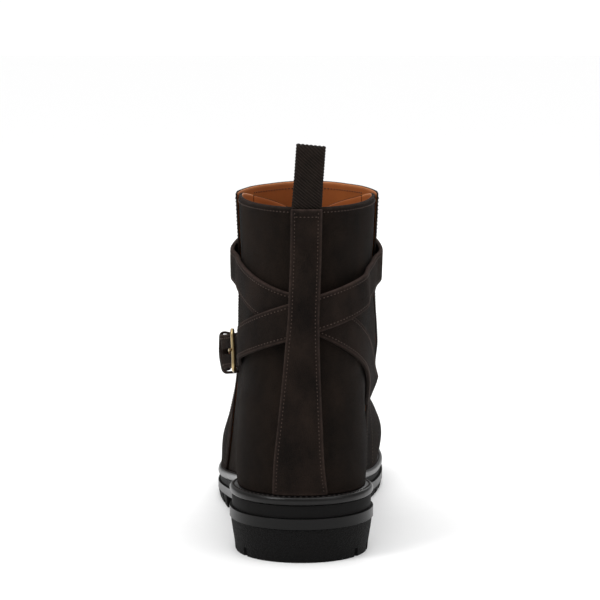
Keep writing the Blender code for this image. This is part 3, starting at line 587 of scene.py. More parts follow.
@dataclass(frozen=True)
class Strap:
    """The long strap's route over the upper, measured from the buckle's rear bar."""

    last: Last
    width: float = 0.0185
    thick: float = 0.0023
    gap: float = 0.0005
    tip: float = 0.045
    point: float = 0.008
    end: float = 0.002
    hole: float = 0.0030
    hole_first: float = 0.026
    hole_pitch: float = 0.011
    prong_slot: float = 0.0108
    bar: float = 0.00115
    prong: float = 0.0008
    bar_room: float = 0.00025
    frame_length: float = 0.0148
    frame_corner: float = 0.0035
    side_room: float = 0.0005
    chape_width: float = 0.0160
    chape_thick: float = 0.0014
    chape_length: float = 0.044
    chape_fold: float = 0.0135
    keeper_width: float = 0.0065
    keeper_thick: float = 0.0012
    keeper_at: float = 0.034
    keeper_bend: float = 0.0020
    keeper_room: float = 0.0008
    buckle_turn: float = -2.365
    line: dict = field(default_factory=dict)

    def __post_init__(self) -> None:
        """Works out turn, height and running length along the strap's middle."""
        ways = np.array(STRAP_WAY)
        turn = math.pi * np.linspace(ways[0, 0], ways[-1, 0], 900)
        height = self.last.shaft_height * spline(-math.pi * ways[:, 0], ways[:, 1], -turn)
        run = lengths(self.last.bare(turn, self.last.level_at(turn, height)))
        buckle = float(np.interp(-math.pi * self.buckle_turn, -turn, run))
        self.line.update(turn=turn, height=height, run=run, buckle=buckle)

    @property
    def pivot_lift(self) -> float:
        """Height of the buckle's front bar over the upper."""
        return GAP + 2 * self.prong + self.bar_room + self.bar

    @property
    def fold_top(self) -> float:
        """Height of the chape where it folds over the front bar."""
        return self.pivot_lift + self.bar + self.bar_room + self.chape_thick

    @property
    def rear_lift(self) -> float:
        """Height of the buckle's rear bar over the upper."""
        return self.gap + self.thick + 2 * GAP + self.bar

    def at(self, run: np.ndarray | float, across: np.ndarray | float, lift: np.ndarray | float) -> np.ndarray:
        """Points on or over the strap's route.

        Args:
            run: distance along the strap from the buckle's rear bar.
            across: distance from its middle.
            lift: distance over the upper.

        Returns:
            A point for each place.
        """
        last = self.last
        run, across, lift = flat_arrays(run, across, lift)
        reach = run + self.line["buckle"]

        def place(step: float) -> tuple[np.ndarray, np.ndarray, np.ndarray]:
            """Turn, height and point of the middle line, a step ahead."""
            turn = np.interp(reach + step, self.line["run"], self.line["turn"])
            height = np.interp(reach + step, self.line["run"], self.line["height"])
            return turn, height, last.bare(turn, last.level_at(turn, height))

        small = 1e-3
        turn, height, here = place(0.0)
        by_turn = (last.bare(turn + small, last.level_at(turn + small, height)) - here) / small
        by_height = (last.bare(turn, last.level_at(turn, height + small)) - here) / small
        ahead = place(small)[2] - place(-small)[2]
        side = unit(np.cross(ahead, np.cross(by_turn, by_height)))
        turns, heights = solve_pair(by_turn, by_height, side)
        turn = turn + turns * across
        level = last.level_at(turn, height + heights * across)
        return last.skin(turn, level, last.outside(turn, level) + lift)

    def grid(self, run: np.ndarray, across: np.ndarray, lift: np.ndarray | float) -> Grid:
        """Points over the strap's route, in the shape that the three numbers spread to."""
        shape = np.broadcast(run, across, lift).shape
        return self.at(run, across, lift).reshape(shape + (3,))

    def lift(self, run: np.ndarray | float) -> np.ndarray:
        """Lift of the strap's under side.

        Args:
            run: distance along the strap from the buckle's rear bar.

        Returns:
            A lift for each place: over its own first turn at the back seam, and through the buckle.
        """
        turn = np.interp(np.asarray(run) + self.line["buckle"], self.line["run"], self.line["turn"])
        over = (turn < -1.5 * math.pi) * (1.0 - smooth((half_turns(turn) - 0.24) / 0.09))
        low = self.fold_top + GAP + self.gap
        flat = GAP + 2 * self.chape_thick + GAP + self.gap
        rows = (
            (-0.20 * self.frame_length, 0.0),
            (0.10 * self.frame_length, 0.03 * low),
            (0.54 * self.frame_length, 0.55 * low),
            (self.frame_length, low),
            (1.30 * self.frame_length, 0.96 * low),
            (self.frame_length + self.chape_fold, flat),
            (self.tip, flat - GAP),
        )
        at, rise = zip(*rows)
        return self.gap + over * (self.thick + self.gap) + np.interp(run, at, rise)


def solve_pair(first: np.ndarray, second: np.ndarray, aim: np.ndarray) -> tuple[np.ndarray, np.ndarray]:
    """Shares of two directions that add up nearest to a third.

    Args:
        first: directions.
        second: directions.
        aim: the directions to reach.

    Returns:
        Share of the first and share of the second, for each row.
    """
    own = np.sum(first * first, axis=1)
    other = np.sum(second * second, axis=1)
    both = np.sum(first * second, axis=1)
    left = np.sum(first * aim, axis=1)
    right = np.sum(second * aim, axis=1)
    whole = own * other - both * both
    return (left * other - right * both) / whole, (right * own - left * both) / whole


class Groups:
    """Shader node groups that several finishes share, each built once."""

    made: dict[str, bpy.types.NodeTree] = {}

    @classmethod
    def start(cls, name: str, sockets: Sequence[tuple[str, str, float]],
              outputs: Sequence[tuple[str, str]]) -> GroupParts:
        """Empty group with its sockets.

        Args:
            name: the group's name.
            sockets: name, kind and default of each input.
            outputs: name and kind of each output.

        Returns:
            The group, its input node and its output node.
        """
        tree = bpy.data.node_groups.new(name, "ShaderNodeTree")
        for label, kind, value in sockets:
            made = tree.interface.new_socket(label, in_out="INPUT", socket_type=kind)
            if kind == "NodeSocketFloat":
                made.default_value = value
        for label, kind in outputs:
            tree.interface.new_socket(label, in_out="OUTPUT", socket_type=kind)
        cls.made[name] = tree
        return tree, tree.nodes.new("NodeGroupInput"), tree.nodes.new("NodeGroupOutput")

    @staticmethod
    def noise(tree: bpy.types.NodeTree, where: bpy.types.NodeSocket, detail: float,
              scale: float | bpy.types.NodeSocket) -> bpy.types.Node:
        """Noise at a place on the boot.

        Args:
            tree: the group it goes in.
            where: socket with the place.
            detail: how many layers of noise.
            scale: a value, or a socket that gives it.

        Returns:
            The noise's node.
        """
        node = tree.nodes.new("ShaderNodeTexNoise")
        node.inputs["Detail"].default_value = detail
        tree.links.new(where, node.inputs["Vector"])
        if isinstance(scale, float):
            node.inputs["Scale"].default_value = scale
        else:
            tree.links.new(scale, node.inputs["Scale"])
        return node

    @classmethod
    def nap(cls) -> bpy.types.NodeTree:
        """Brushed fibres: soft patches where the hand has stroked them, and the fine pile."""
        if "nap" in cls.made:
            return cls.made["nap"]
        tree, given, put = cls.start(
            "nap",
            (("Patch Scale", "NodeSocketFloat", 45.0), ("Pile Scale", "NodeSocketFloat", 2200.0)),
            (("Patches", "NodeSocketFloat"), ("Pile", "NodeSocketFloat")),
        )
        where = tree.nodes.new("ShaderNodeTexCoord")
        stretch = tree.nodes.new("ShaderNodeMapping")
        stretch.inputs["Scale"].default_value = (1.0, 1.0, 0.55)
        tree.links.new(where.outputs["Object"], stretch.inputs["Vector"])
        for label, detail, out in (("Patch Scale", 4.0, "Patches"), ("Pile Scale", 5.0, "Pile")):
            noise = cls.noise(tree, stretch.outputs["Vector"], detail, given.outputs[label])
            noise.inputs["Roughness"].default_value = 0.62
            spread = tree.nodes.new("ShaderNodeMapRange")
            spread.inputs["From Min"].default_value = 0.36
            spread.inputs["From Max"].default_value = 0.66
            tree.links.new(noise.outputs["Fac"], spread.inputs["Value"])
            tree.links.new(spread.outputs["Result"], put.inputs[out])
        return tree

    @classmethod
    def grain(cls) -> bpy.types.NodeTree:
        """Pores and wrinkles of smooth leather or moulded rubber, as a height and a mask."""
        if "grain" in cls.made:
            return cls.made["grain"]
        tree, given, put = cls.start(
            "grain",
            (("Scale", "NodeSocketFloat", 900.0), ("Cells", "NodeSocketFloat", 0.6)),
            (("Height", "NodeSocketFloat"), ("Mask", "NodeSocketFloat")),
        )
        where = tree.nodes.new("ShaderNodeTexCoord").outputs["Object"]
        cells = tree.nodes.new("ShaderNodeTexVoronoi")
        tree.links.new(given.outputs["Scale"], cells.inputs["Scale"])
        tree.links.new(where, cells.inputs["Vector"])
        noise = cls.noise(tree, where, 4.0, given.outputs["Scale"])
        mix = tree.nodes.new("ShaderNodeMix")
        tree.links.new(given.outputs["Cells"], mix.inputs["Factor"])
        tree.links.new(noise.outputs["Fac"], mix.inputs["A"])
        tree.links.new(cells.outputs["Distance"], mix.inputs["B"])
        tree.links.new(mix.outputs["Result"], put.inputs["Height"])
        broad = cls.noise(tree, where, 3.0, 60.0)
        tree.links.new(broad.outputs["Fac"], put.inputs["Mask"])
        return tree

    @classmethod
    def wear_and_highlight(cls) -> bpy.types.NodeTree:
        """Rubbed edges and painted highlights: the mesh's own edge mask, which carries both, broken up by a
        noise.
        """
        if "wear_and_highlight" in cls.made:
            return cls.made["wear_and_highlight"]
        tree, given, put = cls.start(
            "wear_and_highlight",
            (("Edge", "NodeSocketFloat", 0.0), ("Amount", "NodeSocketFloat", 0.7)),
            (("Mask", "NodeSocketFloat"),),
        )
        where = tree.nodes.new("ShaderNodeTexCoord").outputs["Object"]
        noise = cls.noise(tree, where, 3.0, 380.0)
        broken = tree.nodes.new("ShaderNodeMapRange")
        broken.inputs["From Min"].default_value = 0.30
        broken.inputs["From Max"].default_value = 0.60
        broken.inputs["To Min"].default_value = 0.45
        tree.links.new(noise.outputs["Fac"], broken.inputs["Value"])
        first = tree.nodes.new("ShaderNodeMath")
        second = tree.nodes.new("ShaderNodeMath")
        for node in (first, second):
            node.operation = "MULTIPLY"
            node.use_clamp = True
        tree.links.new(given.outputs["Edge"], first.inputs[0])
        tree.links.new(broken.outputs["Result"], first.inputs[1])
        tree.links.new(first.outputs["Value"], second.inputs[0])
        tree.links.new(given.outputs["Amount"], second.inputs[1])
        tree.links.new(second.outputs["Value"], put.inputs["Mask"])
        return tree


@dataclass(frozen=True)
class Finish:
    """A finish and the tools to build its material.

    Args:
        name: the material's name.
        colour: main colour, linear.
        second: colour that the variation goes towards.
        worn_and_lit: colour of rubbed edges, also used for painted highlights.
        roughness: smoothest and roughest value.
        bump: strength of the relief.
        depth: height of the relief in metres.
    """

    name: str
    colour: tuple[float, float, float]
    second: tuple[float, float, float]
    worn_and_lit: tuple[float, float, float]
    roughness: tuple[float, float]
    bump: float = 0.5
    depth: float = 0.0003

    def begin(self) -> tuple[bpy.types.Material, bpy.types.NodeTree, bpy.types.Node]:
        """New material, its tree and its shader."""
        material = bpy.data.materials.new(self.name)
        material.use_nodes = True
        material.diffuse_color = (*self.colour, 1.0)
        return material, material.node_tree, material.node_tree.nodes["Principled BSDF"]

    def place(self, tree: bpy.types.NodeTree, group: bpy.types.NodeTree, **values: float) -> bpy.types.Node:
        """Node of a shared group, with its own values.

        Args:
            tree: the material's tree.
            group: the group.
            values: input values, with _ for a space in the name.

        Returns:
            The node.
        """
        node = tree.nodes.new("ShaderNodeGroup")
        node.node_tree = group
        for label, value in values.items():
            node.inputs[label.replace("_", " ")].default_value = value
        return node

    def blend(self, tree: bpy.types.NodeTree, mask: bpy.types.NodeSocket, first: object,
              second: Sequence[float]) -> bpy.types.NodeSocket:
        """Mix of a colour or a socket with a second colour.

        Args:
            tree: the material's tree.
            mask: socket with the share of the second colour.
            first: colour or socket.
            second: colour.

        Returns:
            The mixed colour's socket.
        """
        mix = tree.nodes.new("ShaderNodeMix")
        mix.data_type = "RGBA"
        tree.links.new(mask, mix.inputs["Factor"])
        if isinstance(first, tuple):
            mix.inputs["A"].default_value = (*first, 1.0)
        else:
            tree.links.new(first, mix.inputs["A"])
        mix.inputs["B"].default_value = (*second, 1.0)
        return mix.outputs["Result"]

    def spread(self, tree: bpy.types.NodeTree, mask: bpy.types.NodeSocket,
               target: bpy.types.NodeSocket) -> None:
        """Lets a mask carry the roughness between the finish's two values.

        Args:
            tree: the material's tree.
            mask: socket with the share of the rougher value.
            target: the shader's roughness socket.
        """
        scale = tree.nodes.new("ShaderNodeMapRange")
        scale.inputs["To Min"].default_value, scale.inputs["To Max"].default_value = self.roughness
        tree.links.new(mask, scale.inputs["Value"])
        tree.links.new(scale.outputs["Result"], target)

    def relief(self, tree: bpy.types.NodeTree, shader: bpy.types.Node, height: bpy.types.NodeSocket) -> None:
        """Bump from a height.

        Args:
            tree: the material's tree.
            shader: the shader whose normal it feeds.
            height: socket with the height.
        """
        bump = tree.nodes.new("ShaderNodeBump")
        bump.inputs["Strength"].default_value = self.bump
        bump.inputs["Distance"].default_value = self.depth
        tree.links.new(height, bump.inputs["Height"])
        tree.links.new(bump.outputs["Normal"], shader.inputs["Normal"])

    def worn_and_lit_mask(self, tree: bpy.types.NodeTree, amount: float) -> bpy.types.NodeSocket:
        """Mask of the rubbed edges and the painted highlights.

        Args:
            tree: the material's tree.
            amount: how strongly the rubbed edges and the painted highlights show.

        Returns:
            The mask's socket.
        """
        edge = tree.nodes.new("ShaderNodeAttribute")
        edge.attribute_name = "edge"
        wear_and_highlight = self.place(tree, Groups.wear_and_highlight(), Amount=amount)
        tree.links.new(edge.outputs["Fac"], wear_and_highlight.inputs["Edge"])
        return wear_and_highlight.outputs["Mask"]


@dataclass(frozen=True)
class Suede(Finish):
    """Brushed leather with a velvet sheen, and paler cut edges, partly rubbed and partly painted highlight.
    """

    sheen: float = 0.35
    patch_scale: float = 45.0
    wear_and_highlight: float = 0.75

    def build(self) -> bpy.types.Material:
        """Material of the finish."""
        material, tree, shader = self.begin()
        nap = self.place(tree, Groups.nap(), Patch_Scale=self.patch_scale, Pile_Scale=2200.0)
        stroked = tree.nodes.new("ShaderNodeMath")
        stroked.operation = "MULTIPLY_ADD"
        tree.links.new(nap.outputs["Pile"], stroked.inputs[0])
        stroked.inputs[1].default_value = 0.30
        shift = tree.nodes.new("ShaderNodeMath")
        shift.operation = "MULTIPLY"
        shift.inputs[1].default_value = 0.70
        tree.links.new(nap.outputs["Patches"], shift.inputs[0])
        tree.links.new(shift.outputs["Value"], stroked.inputs[2])
        colour = self.blend(tree, stroked.outputs["Value"], self.colour, self.second)
        colour = self.blend(tree, self.worn_and_lit_mask(tree, self.wear_and_highlight), colour, self.worn_and_lit)
        tree.links.new(colour, shader.inputs["Base Color"])
        self.spread(tree, stroked.outputs["Value"], shader.inputs["Roughness"])
        shader.inputs["Sheen Weight"].default_value = self.sheen
        shader.inputs["Sheen Roughness"].default_value = 0.45
        shader.inputs["Sheen Tint"].default_value = (0.62, 0.50, 0.45, 1.0)
        shader.inputs["Specular IOR Level"].default_value = 0.06
        self.relief(tree, shader, nap.outputs["Pile"])
        return material


@dataclass(frozen=True)
class Grained(Finish):
    """Smooth leather, rubber or thread: a fine grain, and a gloss that varies over the surface."""

    scale: float = 900.0
    cells: float = 0.6
    coat: float = 0.0
    coat_roughness: float = 0.25
    specular: float = 0.5
    wear_and_highlight: float = 0.0
    metallic: float = 0.0

    def build(self) -> bpy.types.Material:
        """Material of the finish."""
        material, tree, shader = self.begin()
        grain = self.place(tree, Groups.grain(), Scale=self.scale, Cells=self.cells)
        colour = self.blend(tree, grain.outputs["Mask"], self.colour, self.second)
        if self.wear_and_highlight:
            colour = self.blend(tree, self.worn_and_lit_mask(tree, self.wear_and_highlight), colour, self.worn_and_lit)
        tree.links.new(colour, shader.inputs["Base Color"])
        self.spread(tree, grain.outputs["Mask"], shader.inputs["Roughness"])
        shader.inputs["Coat Weight"].default_value = self.coat
        shader.inputs["Coat Roughness"].default_value = self.coat_roughness
        shader.inputs["Specular IOR Level"].default_value = self.specular
        shader.inputs["Metallic"].default_value = self.metallic
        self.relief(tree, shader, grain.outputs["Height"])
        return material


# The third colour of each finish goes where the edge mask is: rubbed edges, and painted highlight on
# upward-facing rims, the welt's rounded top and the webbing's rib crests.
SUEDE = Suede("dark_suede", (0.0026, 0.0020, 0.0016), (0.0165, 0.0108, 0.0078), (0.036, 0.025, 0.021),
              (0.82, 0.98), bump=0.8, depth=0.0004, sheen=0.012)
STRAP_SUEDE = Suede("strap_suede", (0.0042, 0.0031, 0.0026), (0.0200, 0.0134, 0.0104), (0.062, 0.042, 0.036),
                    (0.80, 0.96), bump=0.8, depth=0.0004, sheen=0.016, patch_scale=70.0, wear_and_highlight=0.8)
LINING = Grained("cognac_lining", (0.42, 0.125, 0.032), (0.28, 0.078, 0.018), (0.55, 0.22, 0.075),
                 (0.38, 0.55), bump=0.35, depth=0.0002, scale=1100.0, cells=0.45, wear_and_highlight=0.6, specular=0.35)
WEBBING = Suede("ribbed_webbing", (0.0050, 0.0036, 0.0029), (0.0125, 0.0090, 0.0072), (0.034, 0.025, 0.020),
                (0.62, 0.85), bump=0.4, depth=0.0002, sheen=0.012, patch_scale=300.0, wear_and_highlight=0.8)
# The welt's third colour shows only on its rounded top, as a painted highlight.
WELT = Grained("waxed_welt", (0.0030, 0.0027, 0.0025), (0.0055, 0.0049, 0.0046), (0.008, 0.007, 0.0065),
               (0.24, 0.40), bump=0.25, depth=0.0002, scale=700.0, cells=0.3, coat=0.05, wear_and_highlight=0.3,
               specular=0.22)
MIDSOLE = Grained("midsole_dark", (0.0032, 0.0030, 0.0029), (0.0050, 0.0046, 0.0045), (0.01, 0.01, 0.01),
                  (0.60, 0.80), bump=0.35, depth=0.0002, scale=1300.0, cells=0.4, specular=0.12)
BAND = Grained("sole_band", (0.0032, 0.0031, 0.0030), (0.0060, 0.0058, 0.0056), (0.010, 0.0096, 0.0094),
               (0.26, 0.42), bump=0.3, depth=0.0002, scale=1500.0, cells=0.3, coat=0.02, wear_and_highlight=0.3,
               specular=0.16)
HEEL = Grained("heel_rubber", (0.0026, 0.0025, 0.0024), (0.0060, 0.0057, 0.0055), (0.012, 0.0115, 0.011),
               (0.58, 0.80), bump=1.0, depth=0.0008, scale=1050.0, cells=0.6, wear_and_highlight=0.5, specular=0.10)
THREAD = Grained("waxed_thread", (0.036, 0.0225, 0.0175), (0.052, 0.033, 0.026), (0.05, 0.035, 0.03),
                 (0.40, 0.60), bump=0.5, depth=0.0001, scale=3500.0, cells=0.2, specular=0.2)
WELT_THREAD = Grained("welt_thread", (0.013, 0.010, 0.009), (0.021, 0.016, 0.014), (0.02, 0.016, 0.014),
                      (0.40, 0.60), bump=0.5, depth=0.0001, scale=3500.0, cells=0.2, specular=0.2)
BRASS = Grained("antique_brass", (0.52, 0.40, 0.21), (0.34, 0.25, 0.12), (0.70, 0.60, 0.38),
                (0.22, 0.42), bump=0.2, depth=0.0001, scale=1600.0, cells=0.3, wear_and_highlight=0.6, metallic=1.0)
FOOTBED = Grained("footbed_leather", (0.28, 0.115, 0.045), (0.19, 0.075, 0.028), (0.4, 0.2, 0.1),
                  (0.45, 0.62), bump=0.35, depth=0.0002, scale=1000.0, cells=0.5, specular=0.3)
FLOOR = Grained("pale_floor", (0.90, 0.90, 0.90), (0.88, 0.88, 0.88), (0.9, 0.9, 0.9),
                (0.55, 0.65), bump=0.02, depth=0.0002, scale=200.0, cells=0.2, specular=0.1)


class Cupboard:
    """Materials, each built the first time that a piece asks for its finish."""

    kept: dict[str, bpy.types.Material] = {}

    @classmethod
    def get(cls, finish: Suede | Grained) -> bpy.types.Material:
        """Material of a finish.

        Args:
            finish: the finish.

        Returns:
            Its material.
        """
        if finish.name not in cls.kept:
            cls.kept[finish.name] = finish.build()
        return cls.kept[finish.name]


def mount(data: bpy.types.Mesh, slot: Slot, sharp: float, weld: bool = False) -> bpy.types.Object:
    """Object of a mesh, riding on the boot and named as the mesh is.

    Args:
        data: the mesh, with its materials.
        slot: the record's material slot; not used.
        sharp: angle above which an edge stays sharp.
        weld: whether points that coincide are joined.

    Returns:
        The object.
    """
    tidy = bmesh.new()
    tidy.from_mesh(data)
    if weld:
        bmesh.ops.remove_doubles(tidy, verts=tidy.verts, dist=1e-6)
    bmesh.ops.recalc_face_normals(tidy, faces=tidy.faces)
    tidy.to_mesh(data)
    tidy.free()
    data.shade_smooth()
    data.set_sharp_from_angle(angle=sharp)
    piece = bpy.data.objects.new(data.name, data)
    bpy.context.scene.collection.objects.link(piece)
    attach(piece, ROOT)
    log.info("%s: %d faces", piece.name, len(data.polygons))
    return piece


@dataclass
class Mesh:
    """Points and faces of a piece before it becomes an object."""

    points: list[np.ndarray] = field(default_factory=list)
    faces: list[tuple[int, ...]] = field(default_factory=list)
    sides: list[int] = field(default_factory=list)
    edges: list[np.ndarray] = field(default_factory=list)
    count: int = 0

    def add(self, points: np.ndarray, edge: np.ndarray | float = 0.0) -> np.ndarray:
        """Adds points.

        Args:
            points: points in any array whose last axis holds coordinates.
            edge: share of rubbed edge and painted highlight at each.

        Returns:
            Their numbers, in the array's shape.
        """
        shape = points.shape[:-1]
        flat = points.reshape(-1, 3)
        self.points.append(flat)
        self.edges.append(np.broadcast_to(np.asarray(edge, float), shape).reshape(-1))
        numbers = np.arange(self.count, self.count + len(flat)).reshape(shape)
        self.count += len(flat)
        return numbers

    def quads(self, numbers: np.ndarray, side: int = 0, wraps: bool = False, flip: bool = False) -> None:
        """Adds the faces of a grid.

        Args:
            numbers: grid of point numbers.
            side: material of the faces.
            wraps: whether the last row joins the first.
            flip: whether the faces look the other way.
        """
        rows = np.vstack([numbers, numbers[:1]]) if wraps else numbers
        one, two, three, four = rows[:-1, :-1], rows[1:, :-1], rows[1:, 1:], rows[:-1, 1:]
        order = (four, three, two, one) if flip else (one, two, three, four)
        made = np.stack([part.ravel() for part in order], axis=1)
        self.faces.extend(map(tuple, made.tolist()))
        self.sides.extend([side] * len(made))

    def build(self, name: str, slot: Slot, finishes: Sequence[Suede | Grained],
              sharp: float = math.radians(50)) -> bpy.types.Object:
        """Object of the mesh, riding on the boot.

        Args:
            name: the piece's name.
            slot: the record's material slot.
            finishes: finish of each side.
            sharp: angle above which an edge stays sharp.

        Returns:
            The object.
        """
        data = bpy.data.meshes.new(name)
        data.from_pydata(np.concatenate(self.points).tolist(), [], self.faces)
        for finish in finishes:
            data.materials.append(Cupboard.get(finish))
        data.polygons.foreach_set("material_index", self.sides)
        layer = data.attributes.new("edge", "FLOAT", "POINT")
        layer.data.foreach_set("value", np.concatenate(self.edges).astype(np.float32))
        data.update()
        return mount(data, slot, sharp)


def border_share(grid: Grid, reach: float) -> np.ndarray:
    """How near each point of a grid is to its border.

    Args:
        grid: grid of points.
        reach: distance over which the share falls.

    Returns:
        1 on the border, falling towards 0 inside.
    """
    nearest = np.full(grid.shape[:2], 1e9)
    for axis in (0, 1):
        steps = np.linalg.norm(np.diff(grid, axis=axis), axis=2)
        pad = [(0, 0), (0, 0)]
        pad[axis] = (1, 0)
        run = np.cumsum(np.pad(steps, pad), axis=axis)
        whole = run[-1:, :] if axis == 0 else run[:, -1:]
        nearest = np.minimum(nearest, np.minimum(run, whole - run))
    return np.exp(-nearest / reach)


def border(grid: Grid) -> np.ndarray:
    """A grid's border as one loop, in the grid's last axis or as numbers."""
    return np.concatenate([grid[:-1, 0], grid[-1, :-1], grid[:0:-1, -1], grid[0, :0:-1]])


def slab(mesh: Mesh, inner: Grid, outer: Grid, roundness: float = 0.8, steps: int = 3,
         rim_side: Face = Face.OUTER, worn_and_lit: float = 1.0) -> None:
    """Closed sheet with a rounded rim, between two grids.

    Args:
        mesh: where the sheet goes.
        inner: grid of its inner face.
        outer: grid of its outer face.
        roundness: how far the rim stands out, over half the thickness.
        steps: points across the rim.
        rim_side: which face's material the rim takes.
        worn_and_lit: how rubbed the rim is, and how strong the painted highlight on its upward-facing parts
            is.
    """
    rows = np.arange(outer.shape[0])
    columns = np.arange(outer.shape[1])
    middle = (inner + outer) / 2
    by_row = middle - middle[np.clip(rows, 1, len(rows) - 2)]
    by_column = middle - middle[:, np.clip(columns, 1, len(columns) - 2)]
    away = unit(border(unit(by_row) * (np.linalg.norm(by_row, axis=2, keepdims=True) > 0)
                       + unit(by_column) * (np.linalg.norm(by_column, axis=2, keepdims=True) > 0)))
    half = border(outer - inner) / 2
    centre = border(middle)
    reach = np.linalg.norm(half, axis=1, keepdims=True) * roundness
    share = border_share(outer, 0.0006) * 0.6 * worn_and_lit
    # Rim points: a base share of real edge wear, plus painted highlight that grows where the rim faces up and
    # fades where it faces down.
    rim_worn_and_lit = np.clip(0.45 + 0.55 * away[:, 2], 0.1, 1.0) * worn_and_lit
    top = mesh.add(outer, share)
    low = mesh.add(inner, share)
    mesh.quads(top, Face.OUTER.value)
    mesh.quads(low, Face.INNER.value, flip=True)
    loops = [border(top)]
    for angle in np.linspace(0.0, math.pi, steps + 2)[1:-1]:
        loops.append(mesh.add(centre + half * math.cos(angle) + away * reach * math.sin(angle), rim_worn_and_lit))
    loops.append(border(low))
    for number, (first, second) in enumerate(zip(loops, loops[1:])):
        inside = number >= steps if rim_side is Face.OUTER else number >= 1
        side = Face.INNER.value if inside else Face.OUTER.value
        mesh.quads(np.stack([first, second], axis=1), side, wraps=True)


def cells(mesh: Mesh, filled: np.ndarray, corners: np.ndarray,
          side_of: Callable[[int, int, int], int]) -> None:
    """Closed faces round the filled cells of a bent grid.

    Args:
        mesh: where the faces go.
        filled: which cells are solid.
        corners: points of the grid's corners.
        side_of: material for a face, from its axis, its end and its layer.
    """
    numbers = mesh.add(corners)
    padded = np.pad(filled, 1)
    for axis in range(3):
        for far in (0, 1):
            beside = np.roll(padded, 1 - 2 * far, axis=axis)[1:-1, 1:-1, 1:-1]
            for cell in zip(*(part.tolist() for part in np.nonzero(filled & ~beside))):
                face = []
                for one, two in ((0, 0), (1, 0), (1, 1), (0, 1)):
                    key = list(cell)
                    key[axis] += far
                    key[(axis + 1) % 3] += one
                    key[(axis + 2) % 3] += two
                    face.append(int(numbers[tuple(key)]))
                mesh.faces.append(tuple(face))
                mesh.sides.append(side_of(axis, far, cell[2]))


def soften(piece: bpy.types.Object, width: float, segments: int = 2) -> None:
    """Removes unused points of a piece and rounds its edges.

    Args:
        piece: the piece.
        width: width of the bevel.
        segments: facets across it.
    """
    tidy = bmesh.new()
    tidy.from_mesh(piece.data)
    bmesh.ops.delete(tidy, geom=[vert for vert in tidy.verts if not vert.link_faces], context="VERTS")
    tidy.to_mesh(piece.data)
    tidy.free()
    bevel = piece.modifiers.new("soft_edges", "BEVEL")
    bevel.width = width
    bevel.segments = segments
    bevel.limit_method = "ANGLE"
    bevel.angle_limit = math.radians(38)


@dataclass(frozen=True)
class Seam:
    """A row of stitches along a line on a surface."""

    pitch: float = 0.0021
    length: float = 0.0013
    radius: float = 0.00030
    proud: float = 0.00014

    def sew(self, mesh: Mesh, points: np.ndarray, normals: np.ndarray) -> None:
        """Adds the stitches.

        Args:
            mesh: where they go.
            points: dense line on the surface.
            normals: directions out of the surface.
        """
        run = lengths(points)
        count = int(run[-1] / self.pitch)
        if count < 1:
            return
        starts = (np.arange(count) + 0.5) * run[-1] / count - self.length / 2
        shares = np.linspace(0.0, 1.0, 5)
        at = starts[:, None] + self.length * shares
        place = np.stack([np.interp(at, run, points[:, n]) for n in range(3)], axis=2)
        out = unit(np.stack([np.interp(at, run, normals[:, n]) for n in range(3)], axis=2))
        ahead = unit(np.gradient(place, axis=1))
        side = unit(np.cross(ahead, out))
        arch = np.sin(math.pi * shares)
        centre = place + out * (self.proud * arch - self.radius * (1.0 - arch))[None, :, None]
        size = self.radius * (0.55 + 0.45 * np.sqrt(arch))
        angles = np.linspace(0.0, 2 * math.pi, 7)[:-1]
        ring = (side[:, :, None] * np.cos(angles)[:, None] + out[:, :, None] * np.sin(angles)[:, None])
        numbers = mesh.add(centre[:, :, None] + ring * size[None, :, None, None])
        for stitch in numbers:
            wrapped = np.concatenate([stitch, stitch[:, :1]], axis=1)
            mesh.quads(wrapped)
            mesh.faces.extend([tuple(stitch[0].tolist()), tuple(stitch[-1][::-1].tolist())])
            mesh.sides.extend([0, 0])


FINE_SEAM = Seam(0.0020, 0.0012, 0.00027)


